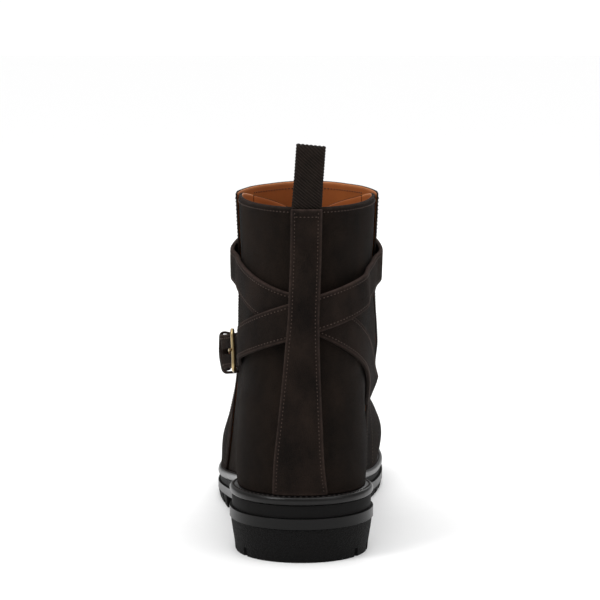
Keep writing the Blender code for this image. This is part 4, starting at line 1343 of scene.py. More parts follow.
@dataclass
class Bottom:
    """Outsole, heel, midsole, welt and footbed."""

    sole: Sole
    ends: float = 0.035
    lug_shares: tuple[float, ...] = (-1.0, -0.80, -0.60, -0.48, -0.24, 0.0, 0.24, 0.48, 0.60, 0.80, 1.0)
    stitch_groove: float = 0.0021

    def build(self) -> None:
        """Builds and dresses the whole bottom."""
        self.outsole()
        self.heel()
        self.midsole()
        self.welt()
        self.footbed()

    def outsole(self) -> None:
        """Full-length plate with chevron lugs under the forefoot."""
        sole = self.sole
        first = 0.475 * sole.length
        pitch = sole.lug_length + sole.lug_groove
        rows = int((0.965 * sole.length - first) / pitch)
        places = []
        for row in range(rows):
            start = first + pitch * row
            places += [start, start + sole.lug_length / 2, start + sole.lug_length]
            places.append(start + sole.lug_length + sole.lug_groove / 2)
        front = turn_at(np.array(places[:-1]) / sole.length)
        rear = np.linspace(self.ends, front[0] - 0.03, 70)
        toe = np.linspace(front[-1] + 0.03, math.pi - self.ends, 22)
        stations = np.concatenate([rear, front, toe])
        shares = self.lug_shares
        lugs = (0, 1, 3, 4, 5, 6, 8, 9)
        levels = (
            sole.plate_grid(stations, shares, sole.lug_taper, sole.tread, sole.lug_chevron),
            sole.plate_grid(stations, shares, 0.0, sole.plate_bottom, sole.lug_chevron),
            sole.plate_grid(stations, shares, 0.0, sole.plate_top, sole.lug_chevron),
        )
        filled = np.zeros((len(stations) - 1, len(shares) - 1, 2), bool)
        filled[:, :, 1] = True
        start = len(rear)
        for row in range(rows):
            for step in (0, 1):
                filled[start + 4 * row + step, lugs, 0] = True
        mesh = Mesh()
        cells(mesh, filled, np.stack(levels, axis=2), lambda axis, far, layer: int(layer == 0 or axis == 2))
        piece = mesh.build("outsole_plate", Slot.RUBBER, (BAND, HEEL))
        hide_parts("outsole")
        soften(piece, 0.0005)

    def heel(self) -> None:
        """Heel block with a lugged bottom and a straight breast."""
        sole = self.sole
        length = sole.heel_length
        grooves = length * np.array([0.20, 0.40, 0.60, 0.80])
        lugs = length * np.array([0.0, 0.004, 0.012, 0.026, 0.046, 0.072, 0.105, 0.145, 0.26, 0.30, 0.35])
        more = length * np.array([0.46, 0.50, 0.55, 0.66, 0.70, 0.75, 0.86, 0.90, 0.95])
        cuts = np.sort(np.concatenate([lugs, more, grooves, grooves + sole.heel_groove, [length]]))
        stations = turn_at(cuts / sole.length)
        stations[0] = self.ends
        shares = self.lug_shares
        shoulder = sole.heel_taper * 0.85
        levels = [
            sole.plate_grid(stations, shares, sole.heel_taper, np.zeros_like),
            sole.plate_grid(stations, shares, shoulder, lambda y: np.full_like(y, sole.heel_tread)),
        ]
        for share in (0.33, 0.66, 1.0):
            inset = 2 * GAP + (shoulder - 2 * GAP) * (1.0 - share) ** 1.1

            def height(y: np.ndarray, share: float = share) -> np.ndarray:
                """Height of this layer."""
                return sole.heel_tread + (sole.plate_bottom(y) - GAP - sole.heel_tread) * share

            levels.append(sole.plate_grid(stations, shares, inset, height))
        filled = np.ones((len(stations) - 1, len(shares) - 1, 4), bool)
        filled[np.isin(cuts[:-1], grooves), :, 0] = False
        filled[:, [2, 7], 0] = False
        mesh = Mesh()
        cells(mesh, filled, np.stack(levels, axis=2), lambda axis, far, layer: 0)
        piece = mesh.build("heel_rubber_block", Slot.RUBBER, (HEEL,))
        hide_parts("heel_block")
        soften(piece, 0.0005)

    def midsole(self) -> None:
        """Recessed layer between the outsole and the welt."""
        sole = self.sole
        stations = np.linspace(self.ends, math.pi - self.ends, 90)
        shares = np.linspace(-1.0, 1.0, 3)
        inner = sole.plate_grid(stations, shares, sole.midsole_recess, lambda y: sole.plate_top(y) + GAP)
        outer = sole.plate_grid(stations, shares, sole.midsole_recess, sole.midsole_top)
        mesh = Mesh()
        slab(mesh, inner, outer, roundness=0.06)
        piece = mesh.build("midsole_layer", Slot.MIDSOLE, (MIDSOLE, MIDSOLE))
        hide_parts("midsole")

    def welt(self) -> None:
        """Rounded glossy rand with a sunk stitch line on its top."""
        sole = self.sole
        turns = np.linspace(-math.pi, math.pi, 241)[:-1]
        round_, high = sole.welt_round, sole.welt
        groove = self.stitch_groove
        rows = [(sole.welt_depth, 0.0), (round_ * 1.2, 0.0)]
        for angle in np.linspace(-80.0, 80.0, 7):
            rise = (math.sin(math.radians(angle)) + 1.0) / 2.0
            rows.append((round_ * (1.0 - math.cos(math.radians(angle))), high * rise))
        rows.append((round_ * 1.1, high))
        for beside, sunk in ((-0.0005, 0.00003), (-0.0002, 0.00028), (0.0002, 0.00028), (0.0005, 0.00003)):
            rows.append((groove + beside, high - sunk))
        rows.append((sole.welt_depth, high))
        grid = np.empty((len(turns), len(rows) + 1, 3))
        for column, (inset, rise) in enumerate(rows + rows[:1]):
            plan = sole.edge(turns, inset)
            grid[:, column, :2] = plan
            grid[:, column, 2] = sole.midsole_top(plan[:, 1]) + GAP + rise
        # Painted highlight: the rounded top of the welt takes the lighter edge colour along its whole length.
        painted_welt_highlight = np.zeros(grid.shape[:2])
        painted_welt_highlight[:, 5:11] = 0.5
        mesh = Mesh()
        numbers = mesh.add(grid[:, :-1], painted_welt_highlight[:, :-1])
        mesh.quads(np.concatenate([numbers, numbers[:, :1]], axis=1), wraps=True)
        piece = mesh.build("welt_rand", Slot.WELT, (WELT,), math.radians(70))
        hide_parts("welt")
        line = np.linspace(-math.pi, math.pi, 1200)
        plan = sole.edge(line, groove)
        points = np.column_stack([plan, sole.seat(plan[:, 1]) - 0.00012])
        thread = Mesh()
        Seam(0.0030, 0.0022, 0.00042, 0.00022).sew(thread, points, np.tile([0.0, 0.0, 1.0], (len(line), 1)))
        thread.build("welt_stitches", Slot.WELT, (WELT_THREAD,))

    def footbed(self) -> None:
        """Leather footbed inside the upper, dished at its middle."""
        sole = self.sole
        stations = np.linspace(self.ends, math.pi - self.ends, 80)
        shares = np.linspace(-1.0, 1.0, 13)
        rim = sole.welt_ledge + 0.0022 + 2 * GAP
        low = sole.plate_grid(stations, shares, rim, lambda y: sole.seat(y) + GAP)
        top = sole.plate_grid(stations, shares, rim, lambda y: sole.seat(y) + GAP + sole.footbed)
        dish = (1.0 - np.array(shares) ** 2) * 0.0008
        top[:, :, 2] -= dish[None, :]
        mesh = Mesh()
        slab(mesh, low, top, roundness=0.3)
        plug_low = sole.plate_grid(stations, (-1.0, 0.0, 1.0), sole.welt_depth + GAP,
                                   lambda y: sole.midsole_top(y) + GAP)
        plug_top = sole.plate_grid(stations, (-1.0, 0.0, 1.0), sole.welt_depth + GAP,
                                   lambda y: sole.seat(y) + GAP)
        slab(mesh, plug_low, plug_top, roundness=0.02)
        piece = mesh.build("footbed", Slot.LINING, (FOOTBED, FOOTBED))
        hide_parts("insole")


@dataclass
class Upper:
    """Quarters, the front piece that laps over them, and their seams."""

    last: Last
    skive: float = 0.05
    skive_edge: float = 0.55
    wing_thick: float = 0.0024
    wing_fall: float = 0.0085
    wing_curl: float = 0.0070
    fall_start: float = 0.50
    fall_end: float = 0.86
    ring_step: float = 0.0168
    strip_width: float = 0.023
    strip_thick: float = 0.0008
    strip_gap: float = 0.0002

    def build(self) -> None:
        """Builds and dresses the upper."""
        self.quarters()
        self.front_piece()
        self.wing("outer_wing", -1.0, 0.88)
        self.wing("inner_wing", 1.0, 0.80)
        self.lining_strip()
        self.seams()

    def fall(self, turn: np.ndarray) -> np.ndarray:
        """How far the quarters' top edge lies under the collar, in rings, inside the front piece."""
        share = np.clip((half_turns(turn) - self.fall_start) / (self.fall_end - self.fall_start), 0.0, 1.0)
        return self.wing_fall * share**1.3 / self.ring_step

    def front_out(self, turn: np.ndarray, level: np.ndarray) -> np.ndarray:
        """Lift of the front piece's outer face, thinned towards its rear edge.

        Args:
            turn: turns round the boot.
            level: ring numbers.

        Returns:
            A lift for each place.
        """
        skived = smooth((half_turns(turn) - self.last.lap_rear) / self.skive)
        thick = self.last.leather * (self.skive_edge + (1.0 - self.skive_edge) * skived)
        return self.last.front_inside(turn, level) + thick

    def grids(self, turns: Grid, level: Grid, low: Grid, high: Grid) -> tuple[Grid, Grid]:
        """Inner and outer points of a shell, with the folds.

        Args:
            turns: turns, rows by level and columns round the boot.
            level: ring numbers.
            low: lift of the inner face.
            high: lift of the outer face.

        Returns:
            Inner grid and outer grid.
        """
        middle = self.last.bare(turns.ravel(), level.ravel())
        fold = self.last.folds(turns.ravel(), middle[:, 2]).reshape(turns.shape)
        return tuple(self.last.skin_grid(turns, level, lift + fold) for lift in (low, high))

    def levels(self) -> np.ndarray:
        """Ring numbers of the rows, from the welt to the rounded collar."""
        return np.concatenate([[0.0, 0.08], np.linspace(0.2, TOP - 0.14, 104), [TOP - 0.10, TOP - 0.06]])

    def quarters(self) -> None:
        """Back of the upper, lined with smooth leather."""
        last = self.last
        levels = self.levels()
        edge = last.lap_front(levels) - 0.006
        share = np.linspace(-1.0, 1.0, 151)
        turns = math.pi * edge[:, None] * share[None, :]
        level = levels[:, None] - self.fall(turns) * (levels[:, None] / TOP) ** 6
        inner, outer = self.grids(turns, level, np.full(turns.shape, -last.leather), np.zeros(turns.shape))
        mesh = Mesh()
        slab(mesh, inner, outer)
        piece = mesh.build("quarters", Slot.SUEDE, (SUEDE, LINING))
        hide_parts("upper")

    def front_piece(self) -> None:
        """Vamp and shin in one, lapping outside the quarters."""
        last = self.last
        levels = self.levels()
        share = np.linspace(-1.0, 1.0, 181)
        start = last.lap_rear + 0.006
        turns = math.pi * (1.0 + (1.0 - start) * share)[None, :] + np.zeros(len(levels))[:, None]
        level = np.broadcast_to(levels[:, None], turns.shape)
        low = last.front_inside(turns, level)
        inner, outer = self.grids(turns, level, low, self.front_out(turns, level))
        mesh = Mesh()
        slab(mesh, inner, outer)
        piece = mesh.build("front_piece", Slot.SUEDE, (SUEDE, LINING))
        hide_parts("upper")

    def wing(self, name: str, side: float, end: float) -> None:
        """Front end of a quarter, which falls away inside the front piece.

        Args:
            name: the piece's name.
            side: -1 on the outer side, 1 on the inner side.
            end: where it ends, in half turns.
        """
        last = self.last
        share = np.linspace(0.0, 1.0, 40)
        start = last.lap_front_top - 0.012
        turn = side * math.pi * (start + (end - start) * share)
        top = TOP - 0.06 - self.fall(turn)
        rows = np.linspace(-1.6, 0.0, 24)
        level = top[None, :] + rows[:, None]
        turns = np.broadcast_to(turn, level.shape)
        high = last.front_inside(turns, level) - 2 * GAP - self.wing_curl * share[None, :] ** 1.4
        outer = last.skin_grid(turns, level, high)
        inner = last.skin_grid(turns, level, high - self.wing_thick)
        mesh = Mesh()
        slab(mesh, inner, outer, steps=5, worn_and_lit=0.0)
        mesh.build(name, Slot.SUEDE, (SUEDE, LINING))

    def lining_strip(self) -> None:
        """Leather strip down the lining's back seam."""
        last = self.last
        levels = np.linspace(1.0, TOP - 0.25, 40)
        across = np.linspace(-0.5, 0.5, 9) * self.strip_width
        turns = np.broadcast_to(across / last.collar_speed, (len(levels), len(across)))
        level = np.broadcast_to(levels[:, None], turns.shape)
        high = -last.leather - self.strip_gap
        outer = last.skin_grid(turns, level, high)
        inner = last.skin_grid(turns, level, high - self.strip_thick)
        mesh = Mesh()
        slab(mesh, inner, outer, rim_side=Face.INNER)
        mesh.build("lining_strip", Slot.LINING, (LINING, LINING))

    def line(self, turns: np.ndarray, levels: np.ndarray, lift: np.ndarray) -> tuple[np.ndarray, np.ndarray]:
        """Dense line on the upper with its normals.

        Args:
            turns: turns along the line.
            levels: ring numbers along the line.
            lift: lift over the quarters' outer surface.

        Returns:
            Points and normals.
        """
        turns, levels, lift = flat_arrays(turns, levels, lift)
        fold = self.last.folds(turns, self.last.bare(turns, levels)[:, 2])
        return self.last.skin(turns, levels, lift + fold), self.last.normal(turns, levels)

    def seams(self) -> None:
        """Stitch rows under the collar, down the front piece's rear edges and round the lining."""
        last = self.last
        seam = Seam()
        mesh = Mesh()
        top = TOP - 0.17
        around = np.linspace(-last.lap_rear, last.lap_rear, 500) * math.pi
        seam.sew(mesh, *self.line(around, np.full(500, top), np.zeros(500)))
        front = np.linspace(last.lap_rear, 2.0 - last.lap_rear, 600) * math.pi
        seam.sew(mesh, *self.line(front, np.full(600, top), self.front_out(front, np.full(600, top))))
        inside = np.linspace(last.lap_front_top + 0.02, 2.0 - last.lap_front_top - 0.02, 500) * math.pi
        points, normals = self.line(inside, np.full(500, top), last.front_inside(inside, np.full(500, top)))
        seam.sew(mesh, points, -normals)
        levels = np.linspace(0.12, TOP - 0.12, 600)
        for side in (-1.0, 1.0):
            for inset in (0.016, 0.044):
                turn = np.full(600, side * math.pi * (last.lap_rear + inset))
                seam.sew(mesh, *self.line(turn, levels, self.front_out(turn, levels)))
        mesh.build("upper_stitches", Slot.SUEDE, (THREAD,))


@dataclass
class Trim:
    """Backstay, strap, chape, keeper and their stitches."""

    last: Last
    strap: Strap
    stay_width: float = 0.0163
    stay_foot: float = 0.0294
    stay_thick: float = 0.0015
    stay_spread: float = 0.090
    web_thick: float = 0.0012
    loop_tuck: float = 0.013
    seam_inset: float = 0.0021
    top_seam: float = 0.977
    leg_radius: float = 0.035

    def build(self) -> None:
        """Builds and dresses the trim."""
        self.backstay()
        self.long_strap()
        self.chape()
        self.keeper()

    def stay_lift(self, height: np.ndarray) -> np.ndarray:
        """Lift of the backstay's under side.

        Args:
            height: heights over the floor.

        Returns:
            A lift for each: over both layers of the strap, and over the pull loop's outer leg.
        """
        shaft = self.last.shaft_height
        ease = 0.110 * shaft
        bridge = smooth((height - 0.578 * shaft) / ease + 0.5)
        bridge = bridge * (1.0 - smooth((height - 0.808 * shaft) / ease + 0.5))
        tuck = smooth((height - shaft + self.loop_tuck + 0.006) / 0.005) * (self.web_thick + 2 * GAP)
        return GAP + 2 * (self.strap.thick + self.strap.gap) * bridge + tuck

    def stay_half(self, height: np.ndarray) -> np.ndarray:
        """Half the backstay's width at a height."""
        spread = np.clip((0.69 * self.last.shaft_height - height) / self.stay_spread, 0.0, 1.2) ** 1.2
        return (self.stay_width + (self.stay_foot - self.stay_width) * spread) / 2

    def on_stay(self, level: np.ndarray, across: np.ndarray, lift: np.ndarray | float) -> np.ndarray:
        """Points on or over the backstay.

        Args:
            level: ring numbers.
            across: distance from its middle, in metres.
            lift: distance over its under side.

        Returns:
            A point for each place.
        """
        level, across, lift = flat_arrays(level, across, lift)
        small = np.full_like(level, 1e-3)
        middle = self.last.bare(0.0 * small, level)
        high = self.stay_lift(middle[:, 2]) + lift
        beside = self.last.skin(small, level, high) - self.last.skin(-small, level, high)
        speed = np.linalg.norm(beside, axis=1) / 2e-3
        return self.last.skin(across / speed, level, high)

    def backstay(self) -> None:
        """Strip up the back seam that bridges the straps."""
        last = self.last
        levels = np.concatenate([np.linspace(0.04, 4.0, 60), np.linspace(4.03, TOP - 0.05, 150)])
        share = mirrored((-1.0, -0.96, -0.9, -0.8, -0.74, -0.68, -0.5, -0.25, 0.0))
        height = last.bare(np.zeros(len(levels)), levels)[:, 2]
        half = self.stay_half(height) - 0.0004
        across = half[:, None] * share[None, :]
        sunk = np.exp(-(((half[:, None] - np.abs(across)) - self.seam_inset) / 0.0005) ** 2) * 0.00022
        level = np.broadcast_to(levels[:, None], across.shape)
        shape = across.shape + (3,)
        inner = self.on_stay(level, across, 0.0).reshape(shape)
        outer = self.on_stay(level, across, self.stay_thick - sunk).reshape(shape)
        mesh = Mesh()
        slab(mesh, inner, outer, roundness=0.6)
        piece = mesh.build("backstay_strip", Slot.SUEDE, (STRAP_SUEDE, STRAP_SUEDE))
        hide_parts("backstay")
        thread = Mesh()
        dense = np.linspace(0.1, TOP - 0.1, 1200)
        half = self.stay_half(last.bare(np.zeros(1200), dense)[:, 2])
        for side in (-1.0, 1.0):
            across = side * (half - self.seam_inset)
            points = self.on_stay(dense, across, self.stay_thick - 0.0002)
            normals = last.normal(across / self.leg_radius, dense)
            FINE_SEAM.sew(thread, points, normals)
        height = self.top_seam * last.shaft_height
        level = float(last.level_at(0.0, height)[0])
        across = np.linspace(-1.0, 1.0, 120) * (float(self.stay_half(height)) - self.seam_inset)
        points = self.on_stay(level, across, self.stay_thick)
        FINE_SEAM.sew(thread, points, last.normal(across / self.leg_radius, np.full(120, level)))
        thread.build("backstay_stitches", Slot.SUEDE, (THREAD,))

    def long_strap(self) -> None:
        """The long strap with its rounded tip, sunk seams and holes."""
        strap = self.strap
        start = -strap.line["buckle"] + strap.end / 2
        runs = np.concatenate([[start], np.linspace(start + strap.end, strap.tip, 330)])
        point = np.sin(np.linspace(0.0, math.pi / 2, 9))[1:-1]
        runs = np.concatenate([runs, strap.tip + point * strap.point])
        widths = np.ones(len(runs))
        widths[0] = 0.88
        widths[-len(point):] = np.sqrt(1.0 - point**2)
        share = mirrored((-1.0, -0.95, -0.88, -0.80, -0.76, -0.70, -0.5, -0.25, 0.0))
        half = strap.width / 2 - 0.0005
        across = widths[:, None] * half * share[None, :]
        run = np.broadcast_to(runs[:, None], across.shape)
        sunk = np.exp(-(((strap.width / 2 - np.abs(across)) - self.seam_inset) / 0.0005) ** 2) * 0.00024
        crown = 0.00018 * (1.0 - (across / half) ** 2)
        low = strap.lift(run)
        inner = strap.grid(run, across, low)
        outer = strap.grid(run, across, low + strap.thick - GAP / 2 + crown - sunk)
        mesh = Mesh()
        slab(mesh, inner, outer, roundness=0.55)
        piece = mesh.build("long_strap", Slot.SUEDE, (STRAP_SUEDE, STRAP_SUEDE))
        self.punch(piece, 0.64 * strap.frame_length, strap.prong_slot)
        for place in (strap.hole_first, strap.hole_first + strap.hole_pitch):
            self.punch(piece, place, strap.hole)
        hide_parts("strap")
        thread = Mesh()
        dense = np.linspace(start + 0.003, strap.tip + 0.001, 2600)
        for side in (-1.0, 1.0):
            across = np.full(len(dense), side * (strap.width / 2 - self.seam_inset))
            lift = strap.lift(dense) + strap.thick - 0.0003
            points = strap.at(dense, across, lift)
            normals = unit(strap.at(dense, across, lift + 0.001) - points)
            Seam(0.0021, 0.0013, 0.00029).sew(thread, points, normals)
        thread.build("strap_stitches", Slot.SUEDE, (THREAD,))

    def punch(self, piece: bpy.types.Object, run: float, length: float) -> None:
        """Cuts a rounded slot through the strap.

        Args:
            piece: the strap.
            run: place of the slot.
            length: its length along the strap.
        """
        strap = self.strap
        turns = np.linspace(0.0, 2 * math.pi, 25)[:-1] + math.pi / 9
        over = strap.hole / 2 * np.sin(turns)
        straight = (length - strap.hole) / 2
        along = run + strap.hole / 2 * np.cos(turns) + straight * np.sign(np.cos(turns))
        lift = float(strap.lift(run))
        mesh = bmesh.new()
        low = [mesh.verts.new(place) for place in strap.at(along, over, lift - strap.thick)]
        high = [mesh.verts.new(place) for place in strap.at(along, over, lift + 2 * strap.thick)]
        mesh.faces.new(low)
        mesh.faces.new(high[::-1])
        for n in range(len(low)):
            mesh.faces.new((low[n], high[n], high[(n + 1) % len(low)], low[(n + 1) % len(low)]))
        bmesh.ops.recalc_face_normals(mesh, faces=mesh.faces)
        data = bpy.data.meshes.new("punch")
        mesh.to_mesh(data)
        mesh.free()
        cutter = bpy.data.objects.new("punch", data)
        bpy.context.scene.collection.objects.link(cutter)
        boolean = piece.modifiers.new("punch", "BOOLEAN")
        boolean.operation = "DIFFERENCE"
        boolean.solver = "EXACT"
        boolean.object = cutter
        bpy.context.view_layer.update()
        evaluated = piece.evaluated_get(bpy.context.evaluated_depsgraph_get())
        cut = bpy.data.meshes.new_from_object(evaluated)
        piece.modifiers.clear()
        piece.data = cut
        bpy.data.objects.remove(cutter)

    def chape(self) -> None:
        """Tab folded round the buckle's front bar, sewn to the upper."""
        strap = self.strap
        turn = strap.bar + strap.bar_room + strap.chape_thick / 2
        high = GAP + 1.5 * strap.chape_thick + GAP
        low = GAP + strap.chape_thick / 2
        climb = strap.pivot_lift + turn - high
        path = []
        rows = ((1.0, 0.0), (0.9, 0.0), (0.82, 0.0), (0.74, 0.0), (0.66, 0.01), (0.58, 0.05), (0.5, 0.16),
                (0.41, 0.36), (0.3, 0.64), (0.185, 0.87), (0.09, 0.97))
        for share, rise in rows:
            path.append((strap.frame_length + share * strap.chape_fold, high + rise * climb))
        for angle in np.radians(np.arange(90.0, 226.0, 15.0)):
            along = strap.frame_length + turn * math.cos(angle)
            path.append((along, strap.pivot_lift + turn * math.sin(angle)))
        drop = strap.pivot_lift - turn - low
        path.append((strap.frame_length - 0.03 * strap.chape_fold, strap.pivot_lift - turn))
        path.append((strap.frame_length + 0.22 * strap.chape_fold, strap.pivot_lift - turn - 0.6 * drop))
        for share in np.linspace(0.15, 1.0, 24):
            path.append((strap.frame_length + strap.chape_length * share, low))
        inner, outer = folded(path, strap.chape_thick)
        share = np.array([-1.0, -0.93, -0.8, -0.5, -0.1, 0.1, 0.5, 0.8, 0.93, 1.0])
        mesh = Mesh()
        narrow = np.ones(len(path))
        narrow[-3:] = (0.97, 0.88, 0.70)
        spread = share[None, :] * narrow[:, None] * (strap.chape_width / 2 - GAP)
        grids = [strap.grid(side[:, :1], spread, side[:, 1:]) for side in (inner, outer)]
        reach = turn + strap.chape_thick
        slit = [n for n, (run, _) in enumerate(path) if abs(run - strap.frame_length) < reach]
        first, last = slit[0], slit[-1]
        slab(mesh, grids[0][: first + 1], grids[1][: first + 1], roundness=0.3)
        for columns in (slice(0, 5), slice(5, 10)):
            under, over = (side[first : last + 1, columns] for side in grids)
            slab(mesh, under, over, roundness=0.02)
        slab(mesh, grids[0][last:], grids[1][last:], roundness=0.3)
        piece = mesh.build("buckle_tab", Slot.SUEDE, (STRAP_SUEDE, LINING))
        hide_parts("buckle_chape")
        thread = Mesh()
        runs = np.linspace(strap.frame_length + strap.chape_fold + 0.002, strap.frame_length + 0.040, 300)
        for side in (-1.0, 1.0):
            across = np.full(300, side * (strap.chape_width / 2 - 0.0018))
            points = strap.at(runs, across, GAP + strap.chape_thick - 0.0001)
            normals = unit(strap.at(runs, across, 0.003) - strap.at(runs, across, 0.0))
            FINE_SEAM.sew(thread, points, normals)
        thread.build("tab_stitches", Slot.SUEDE, (THREAD,))

    def keeper(self) -> None:
        """Leather loop that holds the strap's tip down."""
        strap = self.strap
        side = strap.width / 2 + strap.side_room + strap.keeper_thick / 2
        top = float(strap.lift(strap.keeper_at)) + strap.thick + strap.keeper_room + strap.keeper_thick / 2
        bend = strap.keeper_bend
        path = [(-side, GAP + share * (top - bend - GAP)) for share in np.linspace(0.0, 1.0, 6)]
        for angle in np.radians(np.linspace(170.0, 90.0, 6)):
            path.append((-side + bend * (1.0 + math.cos(angle)), top - bend * (1.0 - math.sin(angle))))
        path += [(side * share, top) for share in np.linspace(-0.75, 0.0, 6)]
        path += [(-over, lift) for over, lift in path[-2::-1]]
        inner, outer = folded(path, strap.keeper_thick)
        runs = strap.keeper_at + np.linspace(-0.5, 0.5, 7) * (strap.keeper_width - 0.0006)
        low = strap.grid(runs[None, :], inner[:, :1], np.maximum(inner[:, 1:], GAP))
        high = strap.grid(runs[None, :], outer[:, :1], np.maximum(outer[:, 1:], GAP))
        mesh = Mesh()
        slab(mesh, low, high, roundness=0.6)
        piece = mesh.build("keeper_loop", Slot.SUEDE, (STRAP_SUEDE, STRAP_SUEDE))
        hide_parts("keeper")


def folded(path: Sequence[tuple[float, float]], thick: float) -> tuple[np.ndarray, np.ndarray]:
    """Both sides of a band folded along a path.

    Args:
        path: the band's middle, in its own plane.
        thick: its thickness.

    Returns:
        Right side and left side of the path.
    """
    line = np.array(path)
    ahead = unit(np.gradient(line, axis=0))
    side = np.stack([-ahead[:, 1], ahead[:, 0]], axis=1) * thick / 2
    return line - side, line + side


@dataclass
class Buckle:
    """Brass frame and prong."""

    strap: Strap

    def build(self) -> None:
        """Builds and dresses the buckle."""
        self.wire_frame()
        self.prong()

    def wire(self, name: str, points: np.ndarray, radii: np.ndarray, closed: bool) -> bpy.types.Object:
        """Round wire through the points.

        Args:
            name: the piece's name.
            points: middle line.
            radii: radius at each point.
            closed: whether the wire is a ring.

        Returns:
            The object.
        """
        curve = bpy.data.curves.new(name, "CURVE")
        curve.dimensions = "3D"
        curve.bevel_depth = 1.0
        curve.bevel_resolution = 6
        curve.use_fill_caps = not closed
        line = curve.splines.new("POLY")
        line.points.add(len(points) - 1)
        for point, place, radius in zip(line.points, points, radii):
            point.co = (*place, 1.0)
            point.radius = radius
        line.use_cyclic_u = closed
        helper = bpy.data.objects.new(name + "_line", curve)
        bpy.context.scene.collection.objects.link(helper)
        bpy.context.view_layer.update()
        data = bpy.data.meshes.new_from_object(helper.evaluated_get(bpy.context.evaluated_depsgraph_get()))
        bpy.data.objects.remove(helper)
        data.name = name
        data.materials.clear()
        data.materials.append(Cupboard.get(BRASS))
        return mount(data, Slot.BRASS, math.radians(60), weld=True)

    def wire_frame(self) -> None:
        """Rectangular frame with rounded corners."""
        strap = self.strap
        length, corner = strap.frame_length, strap.frame_corner
        side = strap.width / 2 + strap.side_room + strap.bar
        runs, sides = [], []
        corners = ((length, side, 0.0), (0.0, side, 0.5), (0.0, -side, 1.0), (length, -side, 1.5))
        for run, across, start in corners:
            middle_run = run + math.copysign(corner, length / 2 - run)
            middle_side = across - math.copysign(corner, across)
            angles = math.pi * (start + np.linspace(0.0, 0.5, 9))
            runs.append(middle_run + corner * np.cos(angles))
            sides.append(middle_side + corner * np.sin(angles))
        loop_runs, loop_sides = [], []
        for n in range(4):
            after = (n + 1) % 4
            share = np.linspace(0.0, 1.0, 9)[1:-1]
            loop_runs += [runs[n], runs[n][-1] + (runs[after][0] - runs[n][-1]) * share]
            loop_sides += [sides[n], sides[n][-1] + (sides[after][0] - sides[n][-1]) * share]
        run, across = np.concatenate(loop_runs), np.concatenate(loop_sides)
        lift = strap.rear_lift + (strap.pivot_lift - strap.rear_lift) * np.clip(run / length, 0.0, 1.0)
        piece = self.wire("buckle_wire", strap.at(run, across, lift), np.full(len(run), strap.bar), True)
        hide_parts("buckle_frame")

    def prong(self) -> None:
        """Prong, hooked round the front bar, its tip on the rear bar."""
        strap = self.strap
        hook = strap.bar + strap.bar_room + strap.prong
        angles = np.radians(np.linspace(-150.0, 90.0, 17))
        runs = strap.frame_length + hook * np.cos(angles)
        lifts = strap.pivot_lift + hook * np.sin(angles)
        share = np.linspace(0.0, 1.0, 15)[1:]
        runs = np.concatenate([runs, strap.frame_length + (-2 * strap.bar - strap.frame_length) * share])
        rise = strap.rear_lift - strap.pivot_lift
        lifts = np.concatenate([lifts, strap.pivot_lift + hook + rise * share])
        radii = np.full(len(runs), strap.prong)
        radii[-2:] *= (0.9, 0.62)
        piece = self.wire("buckle_tongue", strap.at(runs, 0.0, lifts), radii, False)
        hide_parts("buckle_prong")


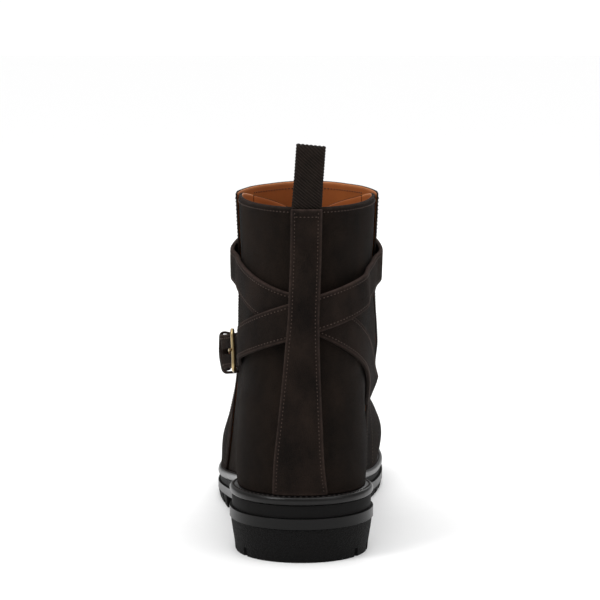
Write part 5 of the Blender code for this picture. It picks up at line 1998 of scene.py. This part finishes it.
@dataclass
class PullLoop:
    """Folded loop of ribbed webbing at the back of the collar."""

    last: Last
    width: float = 0.0153
    thick: float = 0.0012
    height: float = 0.032
    depth: float = 0.0045
    tuck: float = 0.013
    rib: float = 0.0016
    rib_depth: float = 0.00022
    lean: float = 0.0022
    slope: float = 0.10

    def build(self) -> None:
        """Builds and dresses the loop."""
        last = self.last
        rest = GAP + self.thick / 2
        inner_leg = -last.leather - rest
        bulge = self.depth / 2
        middle = (rest + inner_leg) / 2
        rows = [(rest, -self.tuck), (rest, -0.5 * self.tuck), (rest, 0.0)]
        for out, rise in ((1.0, 0.30), (1.0, 0.62), (0.86, 0.84), (0.45, 0.955), (0.0, 0.985)):
            rows.append((middle + out * bulge, rise * self.height))
        for out, rise in ((0.45, 0.955), (0.86, 0.84), (1.0, 0.62), (1.0, 0.30)):
            rows.append((middle - out * bulge, rise * self.height))
        rows += [(inner_leg, 0.0), (inner_leg, -0.7 * self.tuck), (inner_leg, -1.4 * self.tuck)]
        rough = np.array(rows)
        run = lengths(rough)
        dense = np.linspace(0.0, run[-1], 330)
        line = spline(run, rough, dense)
        across = np.linspace(-0.5, 0.5, 46) * (self.width - 0.0006)
        rib = np.sin(2 * math.pi * (dense[:, None] + across[None, :] * 0.75) / self.rib)
        weft = np.sin(2 * math.pi * across[None, :] / 0.0007) * np.sin(2 * math.pi * dense[:, None] / 0.0009)
        relief = self.rib_depth * (np.sign(rib) * np.abs(rib) ** 0.7) + 0.00004 * weft
        grids = [self.face(side, unit(side - line), relief, across) for side in folded(line, self.wall)]
        mesh = Mesh()
        slab(mesh, grids[0], grids[1], roundness=0.5)
        # Painted sheen: the rib crests on both faces take the lighter edge colour.
        high = np.clip(rib * 0.5 + 0.5, 0.0, 1.0) * 0.55
        for index in (0, 1):
            mesh.edges[index] = np.maximum(mesh.edges[index], high.reshape(-1))
        piece = mesh.build("webbing_loop", Slot.WEBBING, (WEBBING, WEBBING), math.radians(80))
        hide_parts("pull_loop")

    @property
    def wall(self) -> float:
        """Thickness between the ribs of both faces."""
        return self.thick - 2 * self.rib_depth

    def face(self, side: np.ndarray, way: np.ndarray, relief: np.ndarray, across: np.ndarray) -> Grid:
        """Points of one face of the webbing.

        Args:
            side: the face's path, out of the collar and up.
            way: direction out of the face for each point of the path.
            relief: height of the ribs, a row for each point of the path.
            across: places across the webbing.

        Returns:
            Grid of points.
        """
        last = self.last
        outs = side[:, :1] + way[:, :1] * relief
        overs = side[:, 1:] + way[:, 1:] * relief
        level = last.level_at(0.0, last.shaft_height + np.minimum(side[:, 1], 0.0))
        zero = np.zeros(len(level))
        bent = last.skin_grid(across[None, :] / last.collar_speed, level[:, None], outs)
        flat = np.stack([np.broadcast_to(across, outs.shape), -outs, 0.0 * outs], axis=2)
        flat = flat + last.bare(zero, level)[:, None]
        share = smooth(side[:, 1] / (0.5 * self.height))[:, None]
        points = bent + (flat - bent) * share[:, :, None]
        high = np.maximum(overs, 0.0) / self.height
        points[:, :, 2] += np.maximum(overs, 0.0) - self.slope * high * across[None, :]
        points[:, :, 0] += self.lean * high
        return points


@dataclass(frozen=True)
class Lamp:
    """A soft area light that looks at the boot."""

    name: str
    place: tuple[float, float, float]
    size: float
    power: float
    aim: tuple[float, float, float] = (0.0, 0.05, 0.09)

    def build(self) -> None:
        """Adds the light."""
        data = bpy.data.lights.new(self.name, "AREA")
        data.shape = "DISK"
        data.size = self.size
        data.energy = self.power
        lamp = bpy.data.objects.new(self.name, data)
        lamp.location = self.place
        lamp.rotation_euler = (Vector(self.aim) - Vector(self.place)).to_track_quat("-Z", "Y").to_euler()
        bpy.context.scene.collection.objects.link(lamp)


@dataclass
class Studio:
    """Floor, lights and the camera at the photograph's angle."""

    camera_place: tuple[float, float, float] = (0.0246, -1.1625, 0.2664)
    aim: tuple[float, float, float] = (-0.0007, 0.0, 0.1332)
    lens: float = 133.3
    floor_half: float = 60.0
    ambient: float = 0.36
    overhead: float = 2.6
    lamps: tuple[Lamp, ...] = (
        Lamp("key", (-1.3, -1.0, 1.5), 0.8, 15.0),
        Lamp("fill", (1.4, -0.9, 1.2), 1.0, 4.0),
        Lamp("back", (0.3, 1.8, 1.4), 1.4, 10.0),
    )

    def build(self) -> None:
        """Builds the whole studio."""
        self.floor()
        for lamp in self.lamps:
            lamp.build()
        self.camera()
        self.sky()
        bpy.context.scene.view_settings.view_transform = "Standard"

    def sky(self) -> None:
        """Pale light from all round, and a large soft light from straight above."""
        world = bpy.data.worlds.new("studio_world")
        world.use_nodes = True
        tree = world.node_tree
        backdrop = tree.nodes["Background"]
        backdrop.inputs["Color"].default_value = (1.0, 1.0, 1.0, 1.0)
        path = tree.nodes.new("ShaderNodeLightPath")
        strength = tree.nodes.new("ShaderNodeMapRange")
        strength.inputs["To Min"].default_value = self.ambient
        strength.inputs["To Max"].default_value = 1.05
        tree.links.new(path.outputs["Is Camera Ray"], strength.inputs["Value"])
        tree.links.new(strength.outputs["Result"], backdrop.inputs["Strength"])
        bpy.context.scene.world = world
        data = bpy.data.lights.new("overhead", "SUN")
        data.energy = self.overhead
        data.angle = math.radians(70)
        bpy.context.scene.collection.objects.link(bpy.data.objects.new("overhead", data))

    def floor(self) -> None:
        """Plain pale floor, far wider than the view."""
        half = self.floor_half
        mesh = bpy.data.meshes.new("floor")
        corners = [(x * half, y * half, 0.0) for x, y in ((-1, -1), (1, -1), (1, 1), (-1, 1))]
        mesh.from_pydata(corners, [], [(0, 1, 2, 3)])
        mesh.materials.append(Cupboard.get(FLOOR))
        mesh.shade_smooth()
        floor = bpy.data.objects.new("floor", mesh)
        bpy.context.scene.collection.objects.link(floor)
        floor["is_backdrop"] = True

    def camera(self) -> None:
        """Camera at the photograph's viewing angle, the one boot in the middle of the frame."""
        data = bpy.data.cameras.new("camera")
        data.lens = self.lens
        data.sensor_width = 36.0
        data.clip_end = 200.0
        camera = bpy.data.objects.new("camera", data)
        camera.location = self.camera_place
        away = Vector(self.aim) - Vector(self.camera_place)
        camera.rotation_euler = away.to_track_quat("-Z", "Y").to_euler()
        bpy.context.scene.collection.objects.link(camera)
        bpy.context.scene.camera = camera


def write_sizes() -> None:
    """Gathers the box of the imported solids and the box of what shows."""
    boxes = {"cad": CAD_BOX, "visual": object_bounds()}
    plain = {name: [list(corner) for corner in box] for name, box in boxes.items()}


def main() -> None:
    """Builds the boot and its studio in order."""
    logging.basicConfig(level=logging.INFO, format="%(relativeCreated)d ms: %(message)s")
    sole = Sole()
    last = Last(sole)
    strap = Strap(last)
    for assembly in (Bottom(sole), Upper(last), Trim(last, strap), Buckle(strap), PullLoop(last), Studio()):
        assembly.build()
        log.info("%s done", type(assembly).__name__)
    write_sizes()


if __name__ == "__main__":
    main()
